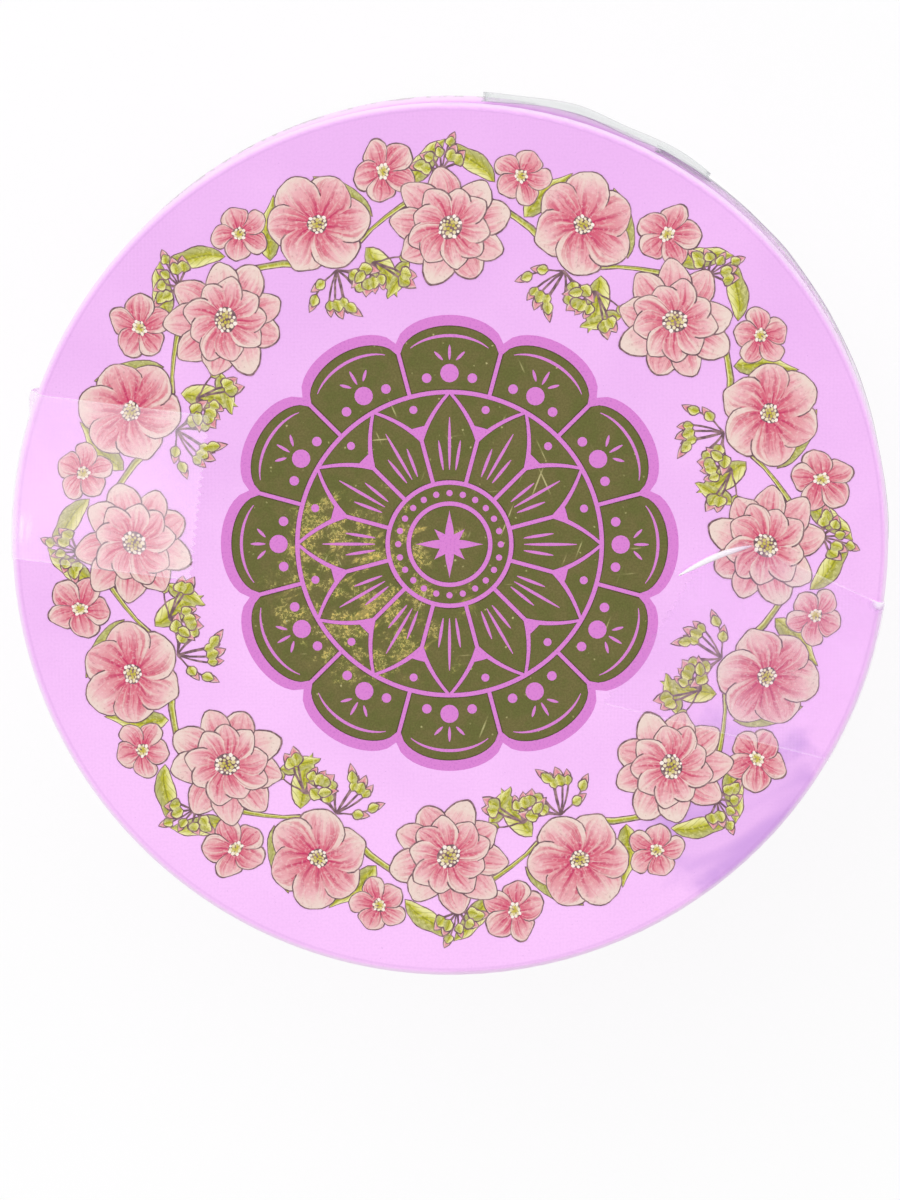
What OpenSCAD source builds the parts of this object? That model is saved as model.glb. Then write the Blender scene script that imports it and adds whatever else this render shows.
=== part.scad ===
// Round powder tin with a slip lid, a sifter, a powder puff and strips of clear tape.
// Millimetres, +Z up, origin on the table under the middle of the tin.

/* [Tin] */
// Height of the closed tin, from the table to the top of the lid
tin_h = 52; // [46:1:70]
// Thickness of the tinplate sheet
sheet_t = 0.3; // [0.2:0.05:0.4]
// Width of the slit that a curled edge leaves beside its wall
curl_slit = 0.2; // [0.1:0.05:0.3]

/* [Lid] */
// Outside diameter of the lid's skirt
lid_d = 100; // [84:1:130]
// Height of the lid, from its curled edge to its top
lid_h = 21.5; // [19:0.5:27]
// Outside radius of the lid's rounded corner
lid_corner_r = 0.8; // [0.6:0.1:2.4]
// Diameter of the outward curl along the lid's lower edge
lid_curl_d = 1.5; // [1.2:0.1:2]
// Gap between the lid's skirt and the body, all round
lid_fit_gap = 0.3; // [0.2:0.05:0.6]
// Gap between the closed lid's top panel and the body's curl
lid_seat_gap = 0.15; // [0.1:0.05:0.5]

/* [Body] */
// Diameter of the inward curl along the body's top edge
body_curl_d = 1.5; // [1.2:0.1:2]
// Inside radius of the bead rolled outward under the lid
bead_r = 0.8; // [0.6:0.1:1.2]
// Gap between the bead and the closed lid's curled edge
bead_gap = 0.4; // [0.3:0.1:1]
// Width of the side seam, where the body's sheet is hooked to itself
side_seam_w = 4; // [3:0.5:6]
// Thickness that the side seam adds inside the wall
side_seam_t = 0.5; // [0.3:0.1:0.8]

/* [Base] */
// Height of the rolled seam round the base
base_seam_h = 3; // [2.4:0.1:4]
// Thickness of the rolled seam outside the wall
base_seam_t = 1; // [0.8:0.1:1.4]
// Rounding of the rolled seam's two outer edges
base_seam_round = 0.4; // [0.2:0.05:0.4]
// Depth of the base panel above the table
base_recess = 2.2; // [1.4:0.1:3]
// Rise of the middle of the base panel
base_step_h = 0.5; // [0.3:0.1:1]
// Width of the lower ring round the base panel's raised middle
base_step_w = 8; // [4:1:14]

/* [Sifter] */
// Thickness of the sifter disc
sifter_t = 0.8; // [0.6:0.1:1]
// Diameter of a sifter hole
sifter_hole_d = 2; // [1.4:0.1:3]
// Distance between rings of holes
sifter_pitch = 6.5; // [5:0.5:9]
// Plain margin round the holes
sifter_margin = 11; // [6:1:20]
// Gap between the sifter and the body's groove and seam
sifter_gap = 0.05; // [0.02:0.01:0.2]
// Gap between the powder and the sifter, and between the powder and the side seam
powder_gap = 0.6; // [0.3:0.1:2]

/* [Puff] */
// Gap between the puff and the body's curl
puff_gap = 3; // [1:0.5:10]
// Gap between the puff and the sifter
puff_rest_gap = 0.3; // [0.2:0.1:0.6]
// Thickness of the puff's pile
pile_h = 6; // [5:0.5:7]
// Rounding of the pile's edge
pile_round = 2.4; // [1:0.2:2.8]
// Height of the puff's domed back
back_h = 5; // [3:0.5:6]
// Thickness of the puff's satin back
back_t = 0.6; // [0.4:0.1:1]
// Width of the strip round the pile that the back leaves bare
back_margin = 1.5; // [0.5:0.5:3]
// Width of the ribbon strap
ribbon_w = 12; // [8:1:18]
// Thickness of the ribbon strap
ribbon_t = 0.6; // [0.4:0.1:1]
// Distance between the ribbon's two ends
ribbon_span = 60; // [44:1:64]
// Gap between the ribbon's crown and the lid
ribbon_headroom = 1.2; // [0.6:0.1:2]

/* [Tape] */
// Width of the clear tape
tape_w = 19; // [12:1:25]
// Thickness of the clear tape
tape_t = 0.1; // [0.06:0.02:0.2]
// Length of tape lying on the lid's top, left strip
tape_left_reach = 21.3; // [12:0.1:30]
// Bearing of the left strip, seen from above
tape_left_a = 173; // [150:1:200]
// Sideways shift of the left strip from the middle
tape_left_shift = -1.7; // [-6:0.1:6]
// Length of tape lying on the lid's top, right strip
tape_right_reach = 25; // [12:0.1:30]
// Bearing of the right strip, seen from above
tape_right_a = -14; // [-40:1:10]
// Sideways shift of the right strip from the middle
tape_right_shift = -4; // [-6:0.1:6]
// How far the right strip's slanted torn end runs back over its width
tape_right_skew = 7.6; // [0:0.2:11]
// Distance between the teeth of a torn end
tooth_pitch = 0.95; // [0.6:0.05:2]
// Depth of the teeth of a torn end
tooth_d = 0.5; // [0.2:0.05:0.8]
// Length of tape left on the body below the bead
tail_l = 12; // [6:1:14]
// Gap between the ends of the tape and the curl and bead next to them
tape_end_gap = 0.4; // [0.2:0.1:1]
// Bearing where the loose side band starts
band_start_a = -8; // [-12:1:0]
// Bearing where the loose side band ends
band_end_a = 86; // [60:1:90]
// Reach of the side band above the lid's curled edge
band_over = 16; // [10:0.5:17]

/* [Hidden] */
$fn = 96;
large_circle_fn = 360;
// How far a cutting shape runs past what it cuts
overshoot = 1;

tin_lilac = [0.93, 0.74, 0.97];
tinplate_grey = [0.75, 0.75, 0.73];
card_white = [0.95, 0.94, 0.9];
powder_white = [0.98, 0.97, 0.97];
pile_pink = [0.96, 0.82, 0.88];
satin_pink = [0.93, 0.68, 0.78];
wadding_white = [0.97, 0.96, 0.94];
tape_clear = [0.95, 0.95, 0.97, 0.35];

lid_r = lid_d / 2;
lid_ri = lid_r - sheet_t;
lid_bottom_z = tin_h - lid_h;
lid_under_z = tin_h - sheet_t;
lid_curl_z = lid_bottom_z + lid_curl_d / 2;
lid_curl_r = lid_ri + lid_curl_d;

body_r = lid_ri - lid_fit_gap;
body_ri = body_r - sheet_t;
body_bottom_z = sheet_t;
body_top_z = lid_under_z - lid_seat_gap;
body_curl_z = body_top_z - body_curl_d / 2;
bead_out_r = bead_r + sheet_t;
bead_z = lid_bottom_z - bead_gap - bead_out_r;
mouth_r = body_r - body_curl_d;

base_wall_r = body_ri - sheet_t;
base_step_r = base_wall_r - base_step_w;
base_ring_top_z = base_recess + sheet_t;
base_mid_top_z = base_ring_top_z + base_step_h;

sifter_r = body_ri + sqrt(pow(bead_r, 2) - pow(sifter_t / 2, 2)) - sifter_gap;
sifter_bottom_z = bead_z - sifter_t / 2;
sifter_top_z = bead_z + sifter_t / 2;
sifter_rings = floor((body_ri - sifter_margin) / sifter_pitch);

powder_r = body_ri - side_seam_t - powder_gap;
powder_top_z = sifter_bottom_z - powder_gap;
side_seam_bottom_z = base_ring_top_z + powder_gap;
side_seam_top_z = body_top_z - body_curl_d;

puff_r = mouth_r - puff_gap;
pile_z = sifter_top_z + puff_rest_gap;
pile_top_z = pile_z + pile_h;
back_r = puff_r - pile_round - back_margin;
wadding_r = back_r - back_t;
wadding_h = back_h - back_t;
ribbon_top_z = lid_under_z - ribbon_headroom;
ribbon_rise = ribbon_top_z - pile_top_z;
ribbon_r = (pow(ribbon_span / 2, 2) + pow(ribbon_rise, 2)) / (2 * ribbon_rise);

tape_lid_end_z = lid_bottom_z + lid_curl_d + tape_end_gap;
tail_top_z = bead_z - bead_out_r - tape_end_gap;
tail_bottom_z = tail_top_z - tail_l;
tape_teeth = round(tape_w / tooth_pitch);
band_bottom_z = lid_bottom_z + band_over - tape_w;

// Half section of a round cap filled to the axis, with a rounded upper corner.
module cap_outline(r, top, bottom, corner) {
    translate([0, bottom]) square([r, top - bottom - corner]);
    translate([0, bottom]) square([r - corner, top - bottom]);
    translate([r - corner, top - corner]) circle(corner);
}

// Half section of an even skin that covers a cap from outside, open below.
module cap_skin(r, top, bottom, corner, skin) {
    difference() {
        cap_outline(r + skin, top + skin, bottom, corner + skin);
        cap_outline(r, top, bottom - overshoot, corner);
    }
}

// Section of an edge curled outward to a tube, centred on the tube, with its slit beside the wall.
module curl_section(d) {
    difference() {
        circle(d = d);
        circle(d = d - 2 * sheet_t);
        translate([sheet_t - d / 2, 0]) square([curl_slit, d / 2]);
    }
}

// Block along the side seam at the back of the body.
module side_seam_block(inner_r, outer_r, width, bottom, top) {
    span = 2 * asin(width / 2 / body_ri);
    rotate([0, 0, 90 - span / 2])
        rotate_extrude(angle = span)
            translate([inner_r, bottom]) square([outer_r - inner_r, top - bottom]);
}

// Plan of a strip of tape along +X, with a torn end at x = 0 that runs back by skew over its width.
module tape_plan(length, skew) {
    half_tooth = tape_w / (2 * tape_teeth);
    torn = [
        for (i = [0 : 2 * tape_teeth])
            let (y = i * half_tooth - tape_w / 2) [skew * y / tape_w + (i % 2) * tooth_d, y]
    ];
    polygon(concat(torn, [[length, tape_w / 2], [length, -tape_w / 2]]));
}

// Strip of tape from the lid's top over its corner and down the skirt.
module tape_over_lid(bearing, shift, reach, skew) {
    intersection() {
        rotate_extrude() cap_skin(lid_r, tin_h, tape_lid_end_z, lid_corner_r, tape_t);
        rotate([0, 0, bearing])
            translate([lid_r - reach, shift, lid_bottom_z])
                linear_extrude(lid_h + overshoot) tape_plan(lid_r, skew);
    }
}

// Strip of tape left on the body's wall, with its torn end down.
module tape_on_body(bearing, shift) {
    intersection() {
        rotate_extrude()
            translate([body_r, tail_bottom_z - overshoot]) square([tape_t, tail_l + overshoot]);
        rotate([0, 0, bearing])
            translate([0, shift, tail_bottom_z])
                rotate([90, 0, 90])
                    linear_extrude(lid_r)
                        rotate(90) tape_plan(tail_l + overshoot, 0);
    }
}

// Spherical cap standing on z = 0.
module dome(r, h) {
    ball_r = (r * r + h * h) / (2 * h);
    rotate_extrude()
        intersection() {
            translate([0, h - ball_r]) circle(ball_r, $fn = large_circle_fn);
            square([r, h]);
        }
}

// Drawn lid: flat top, rounded corner, skirt and outward curl.
module lid_shell() {
    color(tin_lilac)
        rotate_extrude() {
            cap_skin(lid_ri, lid_under_z, lid_curl_z, lid_corner_r - sheet_t, sheet_t);
            translate([lid_ri + lid_curl_d / 2, lid_curl_z]) curl_section(lid_curl_d);
        }
}

// Rolled body: wall, outward bead, inward curl and inside side seam.
module body_wall() {
    color(tin_lilac) {
        rotate_extrude() {
            difference() {
                union() {
                    translate([body_ri, body_bottom_z])
                        square([sheet_t, body_curl_z - body_bottom_z]);
                    intersection() {
                        translate([body_ri, bead_z]) circle(bead_out_r);
                        translate([body_ri, bead_z - bead_out_r]) square(2 * bead_out_r);
                    }
                }
                translate([body_ri, bead_z]) circle(bead_r);
            }
            translate([body_r - body_curl_d / 2, body_curl_z])
                rotate(180) curl_section(body_curl_d);
        }
        side_seam_block(
            body_ri - side_seam_t, body_ri + sheet_t / 2, side_seam_w,
            side_seam_bottom_z, side_seam_top_z
        );
    }
}

// Base: stepped panel inside a channel that is rolled over the wall's lower edge.
module base_end() {
    leg_t = base_seam_t - base_seam_round;
    color(tinplate_grey)
        rotate_extrude() {
            translate([base_wall_r, 0]) square([body_r + leg_t - base_wall_r, sheet_t]);
            translate([base_wall_r, 0]) square([sheet_t, base_ring_top_z]);
            translate([body_r, 0]) square([leg_t, base_seam_h]);
            translate([body_r, base_seam_round])
                square([base_seam_t, base_seam_h - 2 * base_seam_round]);
            for (z = [base_seam_round, base_seam_h - base_seam_round])
                translate([body_r + leg_t, z]) circle(base_seam_round);
            translate([base_step_r - sheet_t, base_recess])
                square([base_wall_r - base_step_r + 2 * sheet_t, sheet_t]);
            translate([base_step_r - sheet_t, base_recess])
                square([sheet_t, base_step_h + sheet_t]);
            translate([0, base_recess + base_step_h]) square([base_step_r, sheet_t]);
        }
}

// Sifter: flat disc sprung into the bead's groove, with rings of holes and a notch at the side seam.
module sifter() {
    color(card_white)
        difference() {
            translate([0, 0, sifter_bottom_z])
                linear_extrude(sifter_t)
                    difference() {
                        circle(sifter_r);
                        for (ring = [0 : sifter_rings])
                            for (i = [0 : max(6 * ring, 1) - 1])
                                rotate(i * 60 / max(ring, 1))
                                    translate([ring * sifter_pitch, 0]) circle(d = sifter_hole_d);
                    }
            side_seam_block(
                body_ri - side_seam_t - sifter_gap, sifter_r + overshoot,
                side_seam_w + 2 * sifter_gap,
                sifter_bottom_z - overshoot, sifter_top_z + overshoot
            );
        }
}

// Powder: bed that lies on the base panel and fills the chamber up to the sifter.
module powder_fill() {
    color(powder_white)
        rotate_extrude() {
            translate([0, base_mid_top_z]) square([powder_r, powder_top_z - base_mid_top_z]);
            translate([base_step_r, base_ring_top_z])
                square([powder_r - base_step_r, powder_top_z - base_ring_top_z]);
        }
}

// Pile: thick round face of the puff, with a rounded edge above and below.
module puff_pile() {
    color(pile_pink)
        translate([0, 0, pile_z])
            rotate_extrude() {
                square([puff_r - pile_round, pile_h]);
                translate([0, pile_round]) square([puff_r, pile_h - 2 * pile_round]);
                for (z = [pile_round, pile_h - pile_round])
                    translate([puff_r - pile_round, z]) circle(pile_round);
            }
}

// Wadding: dome that fills the back of the puff.
module puff_wadding() {
    color(wadding_white)
        translate([0, 0, pile_top_z]) dome(wadding_r, wadding_h);
}

// Back: satin dome sewn over the wadding.
module puff_back() {
    color(satin_pink)
        translate([0, 0, pile_top_z])
            difference() {
                dome(back_r, back_h);
                dome(wadding_r, wadding_h);
            }
}

// Ribbon: strap arched over the back, with both ends sewn down on it.
module puff_ribbon() {
    color(satin_pink)
        difference() {
            translate([0, ribbon_w / 2, ribbon_top_z - ribbon_r])
                rotate([90, 0, 0])
                    linear_extrude(ribbon_w)
                        intersection() {
                            difference() {
                                circle(ribbon_r, $fn = large_circle_fn);
                                circle(ribbon_r - ribbon_t, $fn = large_circle_fn);
                            }
                            translate([-ribbon_span / 2, ribbon_r - ribbon_rise])
                                square([ribbon_span, ribbon_rise]);
                        }
            translate([0, 0, pile_top_z]) dome(back_r, back_h);
        }
}

module tape_left() {
    color(tape_clear) tape_over_lid(tape_left_a, tape_left_shift, tape_left_reach, 0);
}

module tape_right() {
    color(tape_clear)
        tape_over_lid(tape_right_a, tape_right_shift, tape_right_reach, tape_right_skew);
}

// Loose band of tape that stands off the skirt and touches only the lid's curl.
module tape_band() {
    color(tape_clear)
        rotate([0, 0, band_start_a])
            rotate_extrude(angle = band_end_a - band_start_a)
                translate([lid_curl_r, band_bottom_z]) square([tape_t, tape_w]);
}

module tape_left_tail() {
    color(tape_clear) tape_on_body(tape_left_a, tape_left_shift);
}

module tape_right_tail() {
    color(tape_clear) tape_on_body(tape_right_a, tape_right_shift);
}

lid_shell();
body_wall();
base_end();
sifter();
powder_fill();
puff_pile();
puff_wadding();
puff_back();
puff_ribbon();
tape_left();
tape_right();
tape_band();
tape_left_tail();
tape_right_tail();
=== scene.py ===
# %% [markdown]
# A round powder tin, dressed for its portrait.
# The CAD model already holds every rigid piece at its real size, so this lesson never moves or resizes one.
# It adds what a drawing leaves out: the finish of the metal, the print on the lid, the clear tape
# that once held the lid down, and the soft puff that lies under it.

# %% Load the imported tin
import math
import random

import bmesh
import bpy
from mathutils import Matrix, Vector, noise


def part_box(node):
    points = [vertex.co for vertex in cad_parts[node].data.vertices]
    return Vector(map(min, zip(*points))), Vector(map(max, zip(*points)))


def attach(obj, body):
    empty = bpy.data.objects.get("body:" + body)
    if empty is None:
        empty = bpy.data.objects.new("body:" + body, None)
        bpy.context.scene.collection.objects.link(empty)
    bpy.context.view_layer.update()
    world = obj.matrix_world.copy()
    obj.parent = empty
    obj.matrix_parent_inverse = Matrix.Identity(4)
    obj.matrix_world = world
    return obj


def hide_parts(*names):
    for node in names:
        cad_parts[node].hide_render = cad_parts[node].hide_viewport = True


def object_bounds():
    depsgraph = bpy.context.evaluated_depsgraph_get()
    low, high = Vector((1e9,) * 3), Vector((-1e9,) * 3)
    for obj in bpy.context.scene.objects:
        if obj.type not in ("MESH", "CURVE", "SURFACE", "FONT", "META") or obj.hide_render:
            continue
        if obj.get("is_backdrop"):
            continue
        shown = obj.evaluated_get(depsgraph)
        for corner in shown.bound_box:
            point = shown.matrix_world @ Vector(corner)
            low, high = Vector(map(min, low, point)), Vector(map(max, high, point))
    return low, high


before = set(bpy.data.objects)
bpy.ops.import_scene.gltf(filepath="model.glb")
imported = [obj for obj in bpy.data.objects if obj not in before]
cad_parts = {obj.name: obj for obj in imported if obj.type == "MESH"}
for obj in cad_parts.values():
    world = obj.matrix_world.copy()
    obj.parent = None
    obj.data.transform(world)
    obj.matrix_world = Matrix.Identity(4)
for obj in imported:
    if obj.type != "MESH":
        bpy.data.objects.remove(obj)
cad_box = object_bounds()
print("CAD pieces:", sorted(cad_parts))

# %% [markdown]
# The frame gives the outer corners of every piece. A few sheet metal sizes turn those corners into
# the radii and heights that the finishes and the new pieces need, so nothing has to be fitted by eye.

# %% Sizes of the tin
MM = 0.001
SHEET = 0.3 * MM
LID_CURL = 1.5 * MM
LID_CORNER = 0.8 * MM
LID_GAP = 0.3 * MM

lid_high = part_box("lid_shell")[1]
LID_TOP = lid_high.z
CURL_R = lid_high.x
LID_R = CURL_R - LID_CURL + SHEET
BODY_R = LID_R - SHEET - LID_GAP
BEAD_Z = sum(corner.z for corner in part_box("sifter")) / 2
print(f"lid radius {LID_R / MM:.1f} mm, top {LID_TOP / MM:.1f} mm, bead at {BEAD_Z / MM:.1f} mm")

# %% [markdown]
# The photograph looks almost straight down on the lid. The camera stands a little towards the top of
# the picture, which is why a sliver of the skirt and its curl shows along the upper edge only.
# The lid's radius in pixels sets how much of the table the picture takes in.

# %% Camera
PHOTO_W, PHOTO_H = 900, 1200
LID_CENTRE_PX = (449.5, 544)
LID_R_PX = 438
EYE_HEIGHT = 450 * MM
EYE_SIDE = (8 * MM, 41 * MM)
SENSOR = 36.0

pixel = LID_R / LID_R_PX
aim = Vector((
    (PHOTO_W / 2 - LID_CENTRE_PX[0]) * pixel,
    (LID_CENTRE_PX[1] - PHOTO_H / 2) * pixel,
    LID_TOP,
))
eye = Vector((EYE_SIDE[0], EYE_SIDE[1], LID_TOP + EYE_HEIGHT))
away = (eye - aim).normalized()
right = Vector((0, 1, 0)).cross(away).normalized()
up = away.cross(right)

camera = bpy.data.objects.new("camera", bpy.data.cameras.new("camera"))
bpy.context.scene.collection.objects.link(camera)
camera.matrix_world = Matrix.Translation(eye) @ Matrix((right, up, away)).transposed().to_4x4()
camera.data.sensor_fit = "VERTICAL"
camera.data.sensor_height = SENSOR
camera.data.lens = SENSOR * (eye - aim).length / (PHOTO_H * pixel)
camera.data.clip_start = 10 * MM
bpy.context.scene.camera = camera
print(f"lens {camera.data.lens:.0f} mm, {pixel / MM:.3f} mm to a pixel")

# %% [markdown]
# Every finish below is a small graph of shader nodes. Wiring nodes by hand hides the idea behind them,
# so three helpers are made first. The first is a Wire: it is the output of a node, and sums on wires
# add Math nodes. With it a mask is turned round by writing 1 - mask.

# %% Wires
def plug(tree, socket, value):
    """Sets a socket to a value, or links a wire to it."""
    if isinstance(value, Wire):
        tree.links.new(value.socket, socket)
    else:
        socket.default_value = value


class Wire:
    """An output socket that can be used in sums."""

    def __init__(self, tree, socket):
        self.tree = tree
        self.socket = socket

    def math(self, operation, *values):
        node = self.tree.nodes.new("ShaderNodeMath")
        node.operation = operation
        for socket, value in zip(node.inputs, values):
            plug(self.tree, socket, value)
        return Wire(self.tree, node.outputs[0])

    def __add__(self, other):
        return self.math("ADD", self, other)

    def __sub__(self, other):
        return self.math("SUBTRACT", self, other)

    def __rsub__(self, other):
        return self.math("SUBTRACT", other, self)

    def __mul__(self, other):
        return self.math("MULTIPLY", self, other)

    def __pow__(self, other):
        return self.math("POWER", self, other)

    def __abs__(self):
        return self.math("ABSOLUTE", self)

    def __lt__(self, other):
        return self.math("LESS_THAN", self, other)

    def __gt__(self, other):
        return self.math("GREATER_THAN", self, other)

    __radd__ = __add__
    __rmul__ = __mul__


print("wires add, subtract, multiply, raise and compare")

# %% [markdown]
# A Recipe makes any other node from its type, its settings and the values or wires of its sockets. The
# settings are made first, because some of them change which sockets a node has.

# %% Recipes
class Recipe:
    """Makes nodes in one node tree."""

    def __init__(self, tree):
        self.tree = tree

    def node(self, kind, settings=None, sockets=None, output=0):
        made = self.tree.nodes.new(kind)
        for name, value in (settings or {}).items():
            if name == "stops":
                for element in list(made.color_ramp.elements)[1:]:
                    made.color_ramp.elements.remove(element)
                made.color_ramp.elements[0].position = value[0][0]
                made.color_ramp.elements[0].color = value[0][1]
                for position, colour in value[1:]:
                    made.color_ramp.elements.new(position).color = colour
            else:
                setattr(made, name, value)
        for name, value in (sockets or {}).items():
            plug(self.tree, made.inputs[name], value)
        return Wire(self.tree, made.outputs[output])

    def mix(self, factor, first, second):
        """Mixes two colours."""
        return self.node(
            "ShaderNodeMix", {"data_type": "RGBA"}, {0: factor, 6: first, 7: second}, output=2
        )

    def ramp(self, factor, stops):
        return self.node("ShaderNodeValToRGB", {"stops": stops}, {"Fac": factor})

    def step(self, value, low, high):
        """Rises smoothly from 0 at low to 1 at high."""
        return self.node(
            "ShaderNodeMapRange", {"interpolation_type": "SMOOTHSTEP"},
            {"Value": value, "From Min": low, "From Max": high},
        )

    def split(self, vector):
        """The three parts of a vector."""
        first = self.node("ShaderNodeSeparateXYZ", {}, {0: vector})
        return [Wire(self.tree, output) for output in first.socket.node.outputs]

    def join(self, x, y, z):
        return self.node("ShaderNodeCombineXYZ", {}, {"X": x, "Y": y, "Z": z})


print("recipes make nodes")

# %% [markdown]
# A Finish is the recipe of one material. It knows where a point of the tin is in millimetres, so the scale
# of a pattern can be read straight from the code. Colours are written as they look on a screen.

# %% Finishes
class Finish(Recipe):
    """A material whose patterns are laid out in millimetres."""

    def __init__(self, name):
        self.material = bpy.data.materials.new(name)
        self.material.use_nodes = True
        super().__init__(self.material.node_tree)
        self.shader = self.tree.nodes["Principled BSDF"]
        place = self.node("ShaderNodeTexCoord", output="Object")
        self.spot = self.node(
            "ShaderNodeVectorMath", {"operation": "SCALE"}, {0: place, "Scale": 1 / MM}
        )
        self.x, self.y, self.z = self.split(self.spot)
        self.radius = (self.x * self.x + self.y * self.y) ** 0.5

    def noise(self, scale, detail=2.0, rough=0.5, at=None):
        """Cloudy noise from 0 to 1, with scale features to a millimetre."""
        return self.node(
            "ShaderNodeTexNoise", {},
            {"Vector": at or self.spot, "Scale": scale, "Detail": detail, "Roughness": rough},
        )

    def cells(self, scale, at=None):
        """Distance to the nearest of a scatter of points."""
        return self.node("ShaderNodeTexVoronoi", {}, {"Vector": at or self.spot, "Scale": scale})

    def stretched(self, angle, along, across):
        """Coordinates turned in the plane of the lid and stretched, for streaks."""
        return self.node(
            "ShaderNodeMapping", {"vector_type": "TEXTURE"},
            {"Vector": self.spot, "Rotation": (0, 0, angle), "Scale": (1 / along, 1 / across, 1)},
        )

    def brush(self):
        """Across, along and tone, the place of a point in its painted shape."""
        place = self.node("ShaderNodeAttribute", {"attribute_name": "brush"}, output="Vector")
        return self.split(place)

    def bump(self, height):
        """A normal from a height in millimetres."""
        return self.node("ShaderNodeBump", {}, {"Distance": MM, "Height": height})

    def feed(self, **sockets):
        """Sets or links the shader's own sockets, such as base_color."""
        names = {name.lower().replace(" ", "_"): name for name in self.shader.inputs.keys()}
        for name, value in sockets.items():
            plug(self.tree, self.shader.inputs[names[name]], value)
        return self.material


def colour(red, green, blue):
    """A colour as it looks on a screen, 0 to 255, as the linear light that shaders use."""
    linear = []
    for level in (red / 255, green / 255, blue / 255):
        linear.append(level / 12.92 if level < 0.04045 else ((level + 0.055) / 1.055) ** 2.4)
    return (*linear, 1.0)


def grey(level):
    """A grey by its linear light."""
    return (level, level, level, 1)


print("finishes read their place in millimetres")

# %% [markdown]
# The stage is a plain white table in a pale room with a dim ceiling. The dim ceiling matters:
# a mirror laid flat, such as the gold foil, shows the camera what is above it, and in the photograph
# that is dark. Light comes mostly from a window at the back left, so the wall there is the brightest and
# the lid's far edge falls into a little shade. The table glows for the camera and in reflections alone,
# which makes it white without putting more light on the tin.

# %% Room and table
FLOOR_DROP = 0.02 * MM
FLOOR_R = 3.0
FLOOR_GLOW = 0.86
FLOOR_WHITE = 0.95
WALL_BRIGHT = 1.0
WALL_DIM = 0.55
CEILING = 0.25
WINDOW = (-0.30, 0.50, 0.81)

room = bpy.data.worlds.new("room")
room.use_nodes = True
bpy.context.scene.world = room
sky = Recipe(room.node_tree)
direction = sky.node("ShaderNodeTexCoord")
facing = sky.node(
    "ShaderNodeVectorMath", {"operation": "DOT_PRODUCT"}, {0: direction, 1: WINDOW}, output="Value"
)
walls = sky.mix(sky.step(facing, -0.6, 0.6), grey(WALL_DIM), grey(WALL_BRIGHT))
shade = sky.mix(sky.step(sky.split(direction)[2], 0.35, 0.9), walls, grey(CEILING))
plug(room.node_tree, room.node_tree.nodes["Background"].inputs["Color"], shade)

table_top = bmesh.new()
bmesh.ops.create_circle(table_top, cap_ends=True, segments=96, radius=FLOOR_R)
floor_mesh = bpy.data.meshes.new("table_top")
table_top.to_mesh(floor_mesh)
table_top.free()
floor = bpy.data.objects.new("table_top", floor_mesh)
floor.location.z = -FLOOR_DROP
bpy.context.scene.collection.objects.link(floor)
floor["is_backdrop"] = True

paper = Finish("table_paper")
seen = paper.node("ShaderNodeLightPath", output="Is Camera Ray")
mirrored = paper.node("ShaderNodeLightPath", output="Is Glossy Ray")
through = paper.node("ShaderNodeLightPath", output="Is Transmission Ray")
glow = paper.node("ShaderNodeEmission", {}, {"Color": grey(1.0)})
shadowed = paper.node("ShaderNodeBsdfDiffuse", {}, {"Color": grey(FLOOR_WHITE)})
shown = seen.math("MINIMUM", seen + mirrored + through, 1.0) * FLOOR_GLOW
mixed = paper.node("ShaderNodeMixShader", {}, {0: shown, 1: shadowed, 2: glow})
plug(paper.tree, paper.tree.nodes["Material Output"].inputs["Surface"], mixed)
floor.data.materials.append(paper.material)
print(f"table of {FLOOR_R:.0f} m radius under a ceiling of {CEILING} light")

# %% [markdown]
# One large lamp stands for the window, and two small ones fill in from the sides. The lamps are hidden
# from reflections: a small bright square mirrored in a flat lid would wash the print out, while the
# walls of the room give the gloss something soft and even to show.

# %% Lamps
def add_lamp(name, place, size, power):
    """A square softbox that faces the tin."""
    lamp = bpy.data.objects.new(name, bpy.data.lights.new(name, "AREA"))
    lamp.data.shape = "SQUARE"
    lamp.data.size = size
    lamp.data.energy = power
    lamp.location = place
    lamp.rotation_euler = (Vector((0, 0, LID_TOP)) - lamp.location).to_track_quat("-Z", "Y").to_euler()
    lamp.visible_glossy = False
    bpy.context.scene.collection.objects.link(lamp)


add_lamp("window", place=Vector(WINDOW) * 2, size=1.8, power=21.5)
add_lamp("side_box", place=(0.85, 0.15, 0.6), size=0.6, power=1.9)
add_lamp("front_box", place=(-0.1, -0.85, 0.7), size=0.7, power=1.9)

bpy.context.scene.view_settings.view_transform = "Standard"

# %% [markdown]
# The tin is printed sheet. Its lilac ink lies on a fine linen grain, clouds a little from place to place
# and carries the odd speck. The print covers the outside and runs over the lid's curled hem. The inside
# and the neck under the lid are bare tinplate under clear lacquer. Ink and metal are two recipes here,
# and a mask says where each of them shows.

# %% Printed tinplate
LILAC = colour(239, 184, 244)
LILAC_PALE = colour(252, 200, 254)
# This speck colour also paints the painted shade line at the edge of the lid's face.
LILAC_SPECK_AND_SHADE = colour(196, 140, 208)
TINPLATE = colour(205, 203, 198)
TIN_STAIN = colour(150, 132, 100)
THREADS_TO_MM = 2.435


def sine(value):
    return value.math("SINE", value)


def linen(finish, u, v):
    """Height of a plain weave with threads along u and v."""
    threads = []
    for run in (u, v):
        wobble = finish.noise(0.8, 1.0) * 1.4
        threads.append(sine(run * (2 * math.pi * THREADS_TO_MM) + wobble))
    return threads[0] * 0.5 + threads[1] * 0.5


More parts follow.
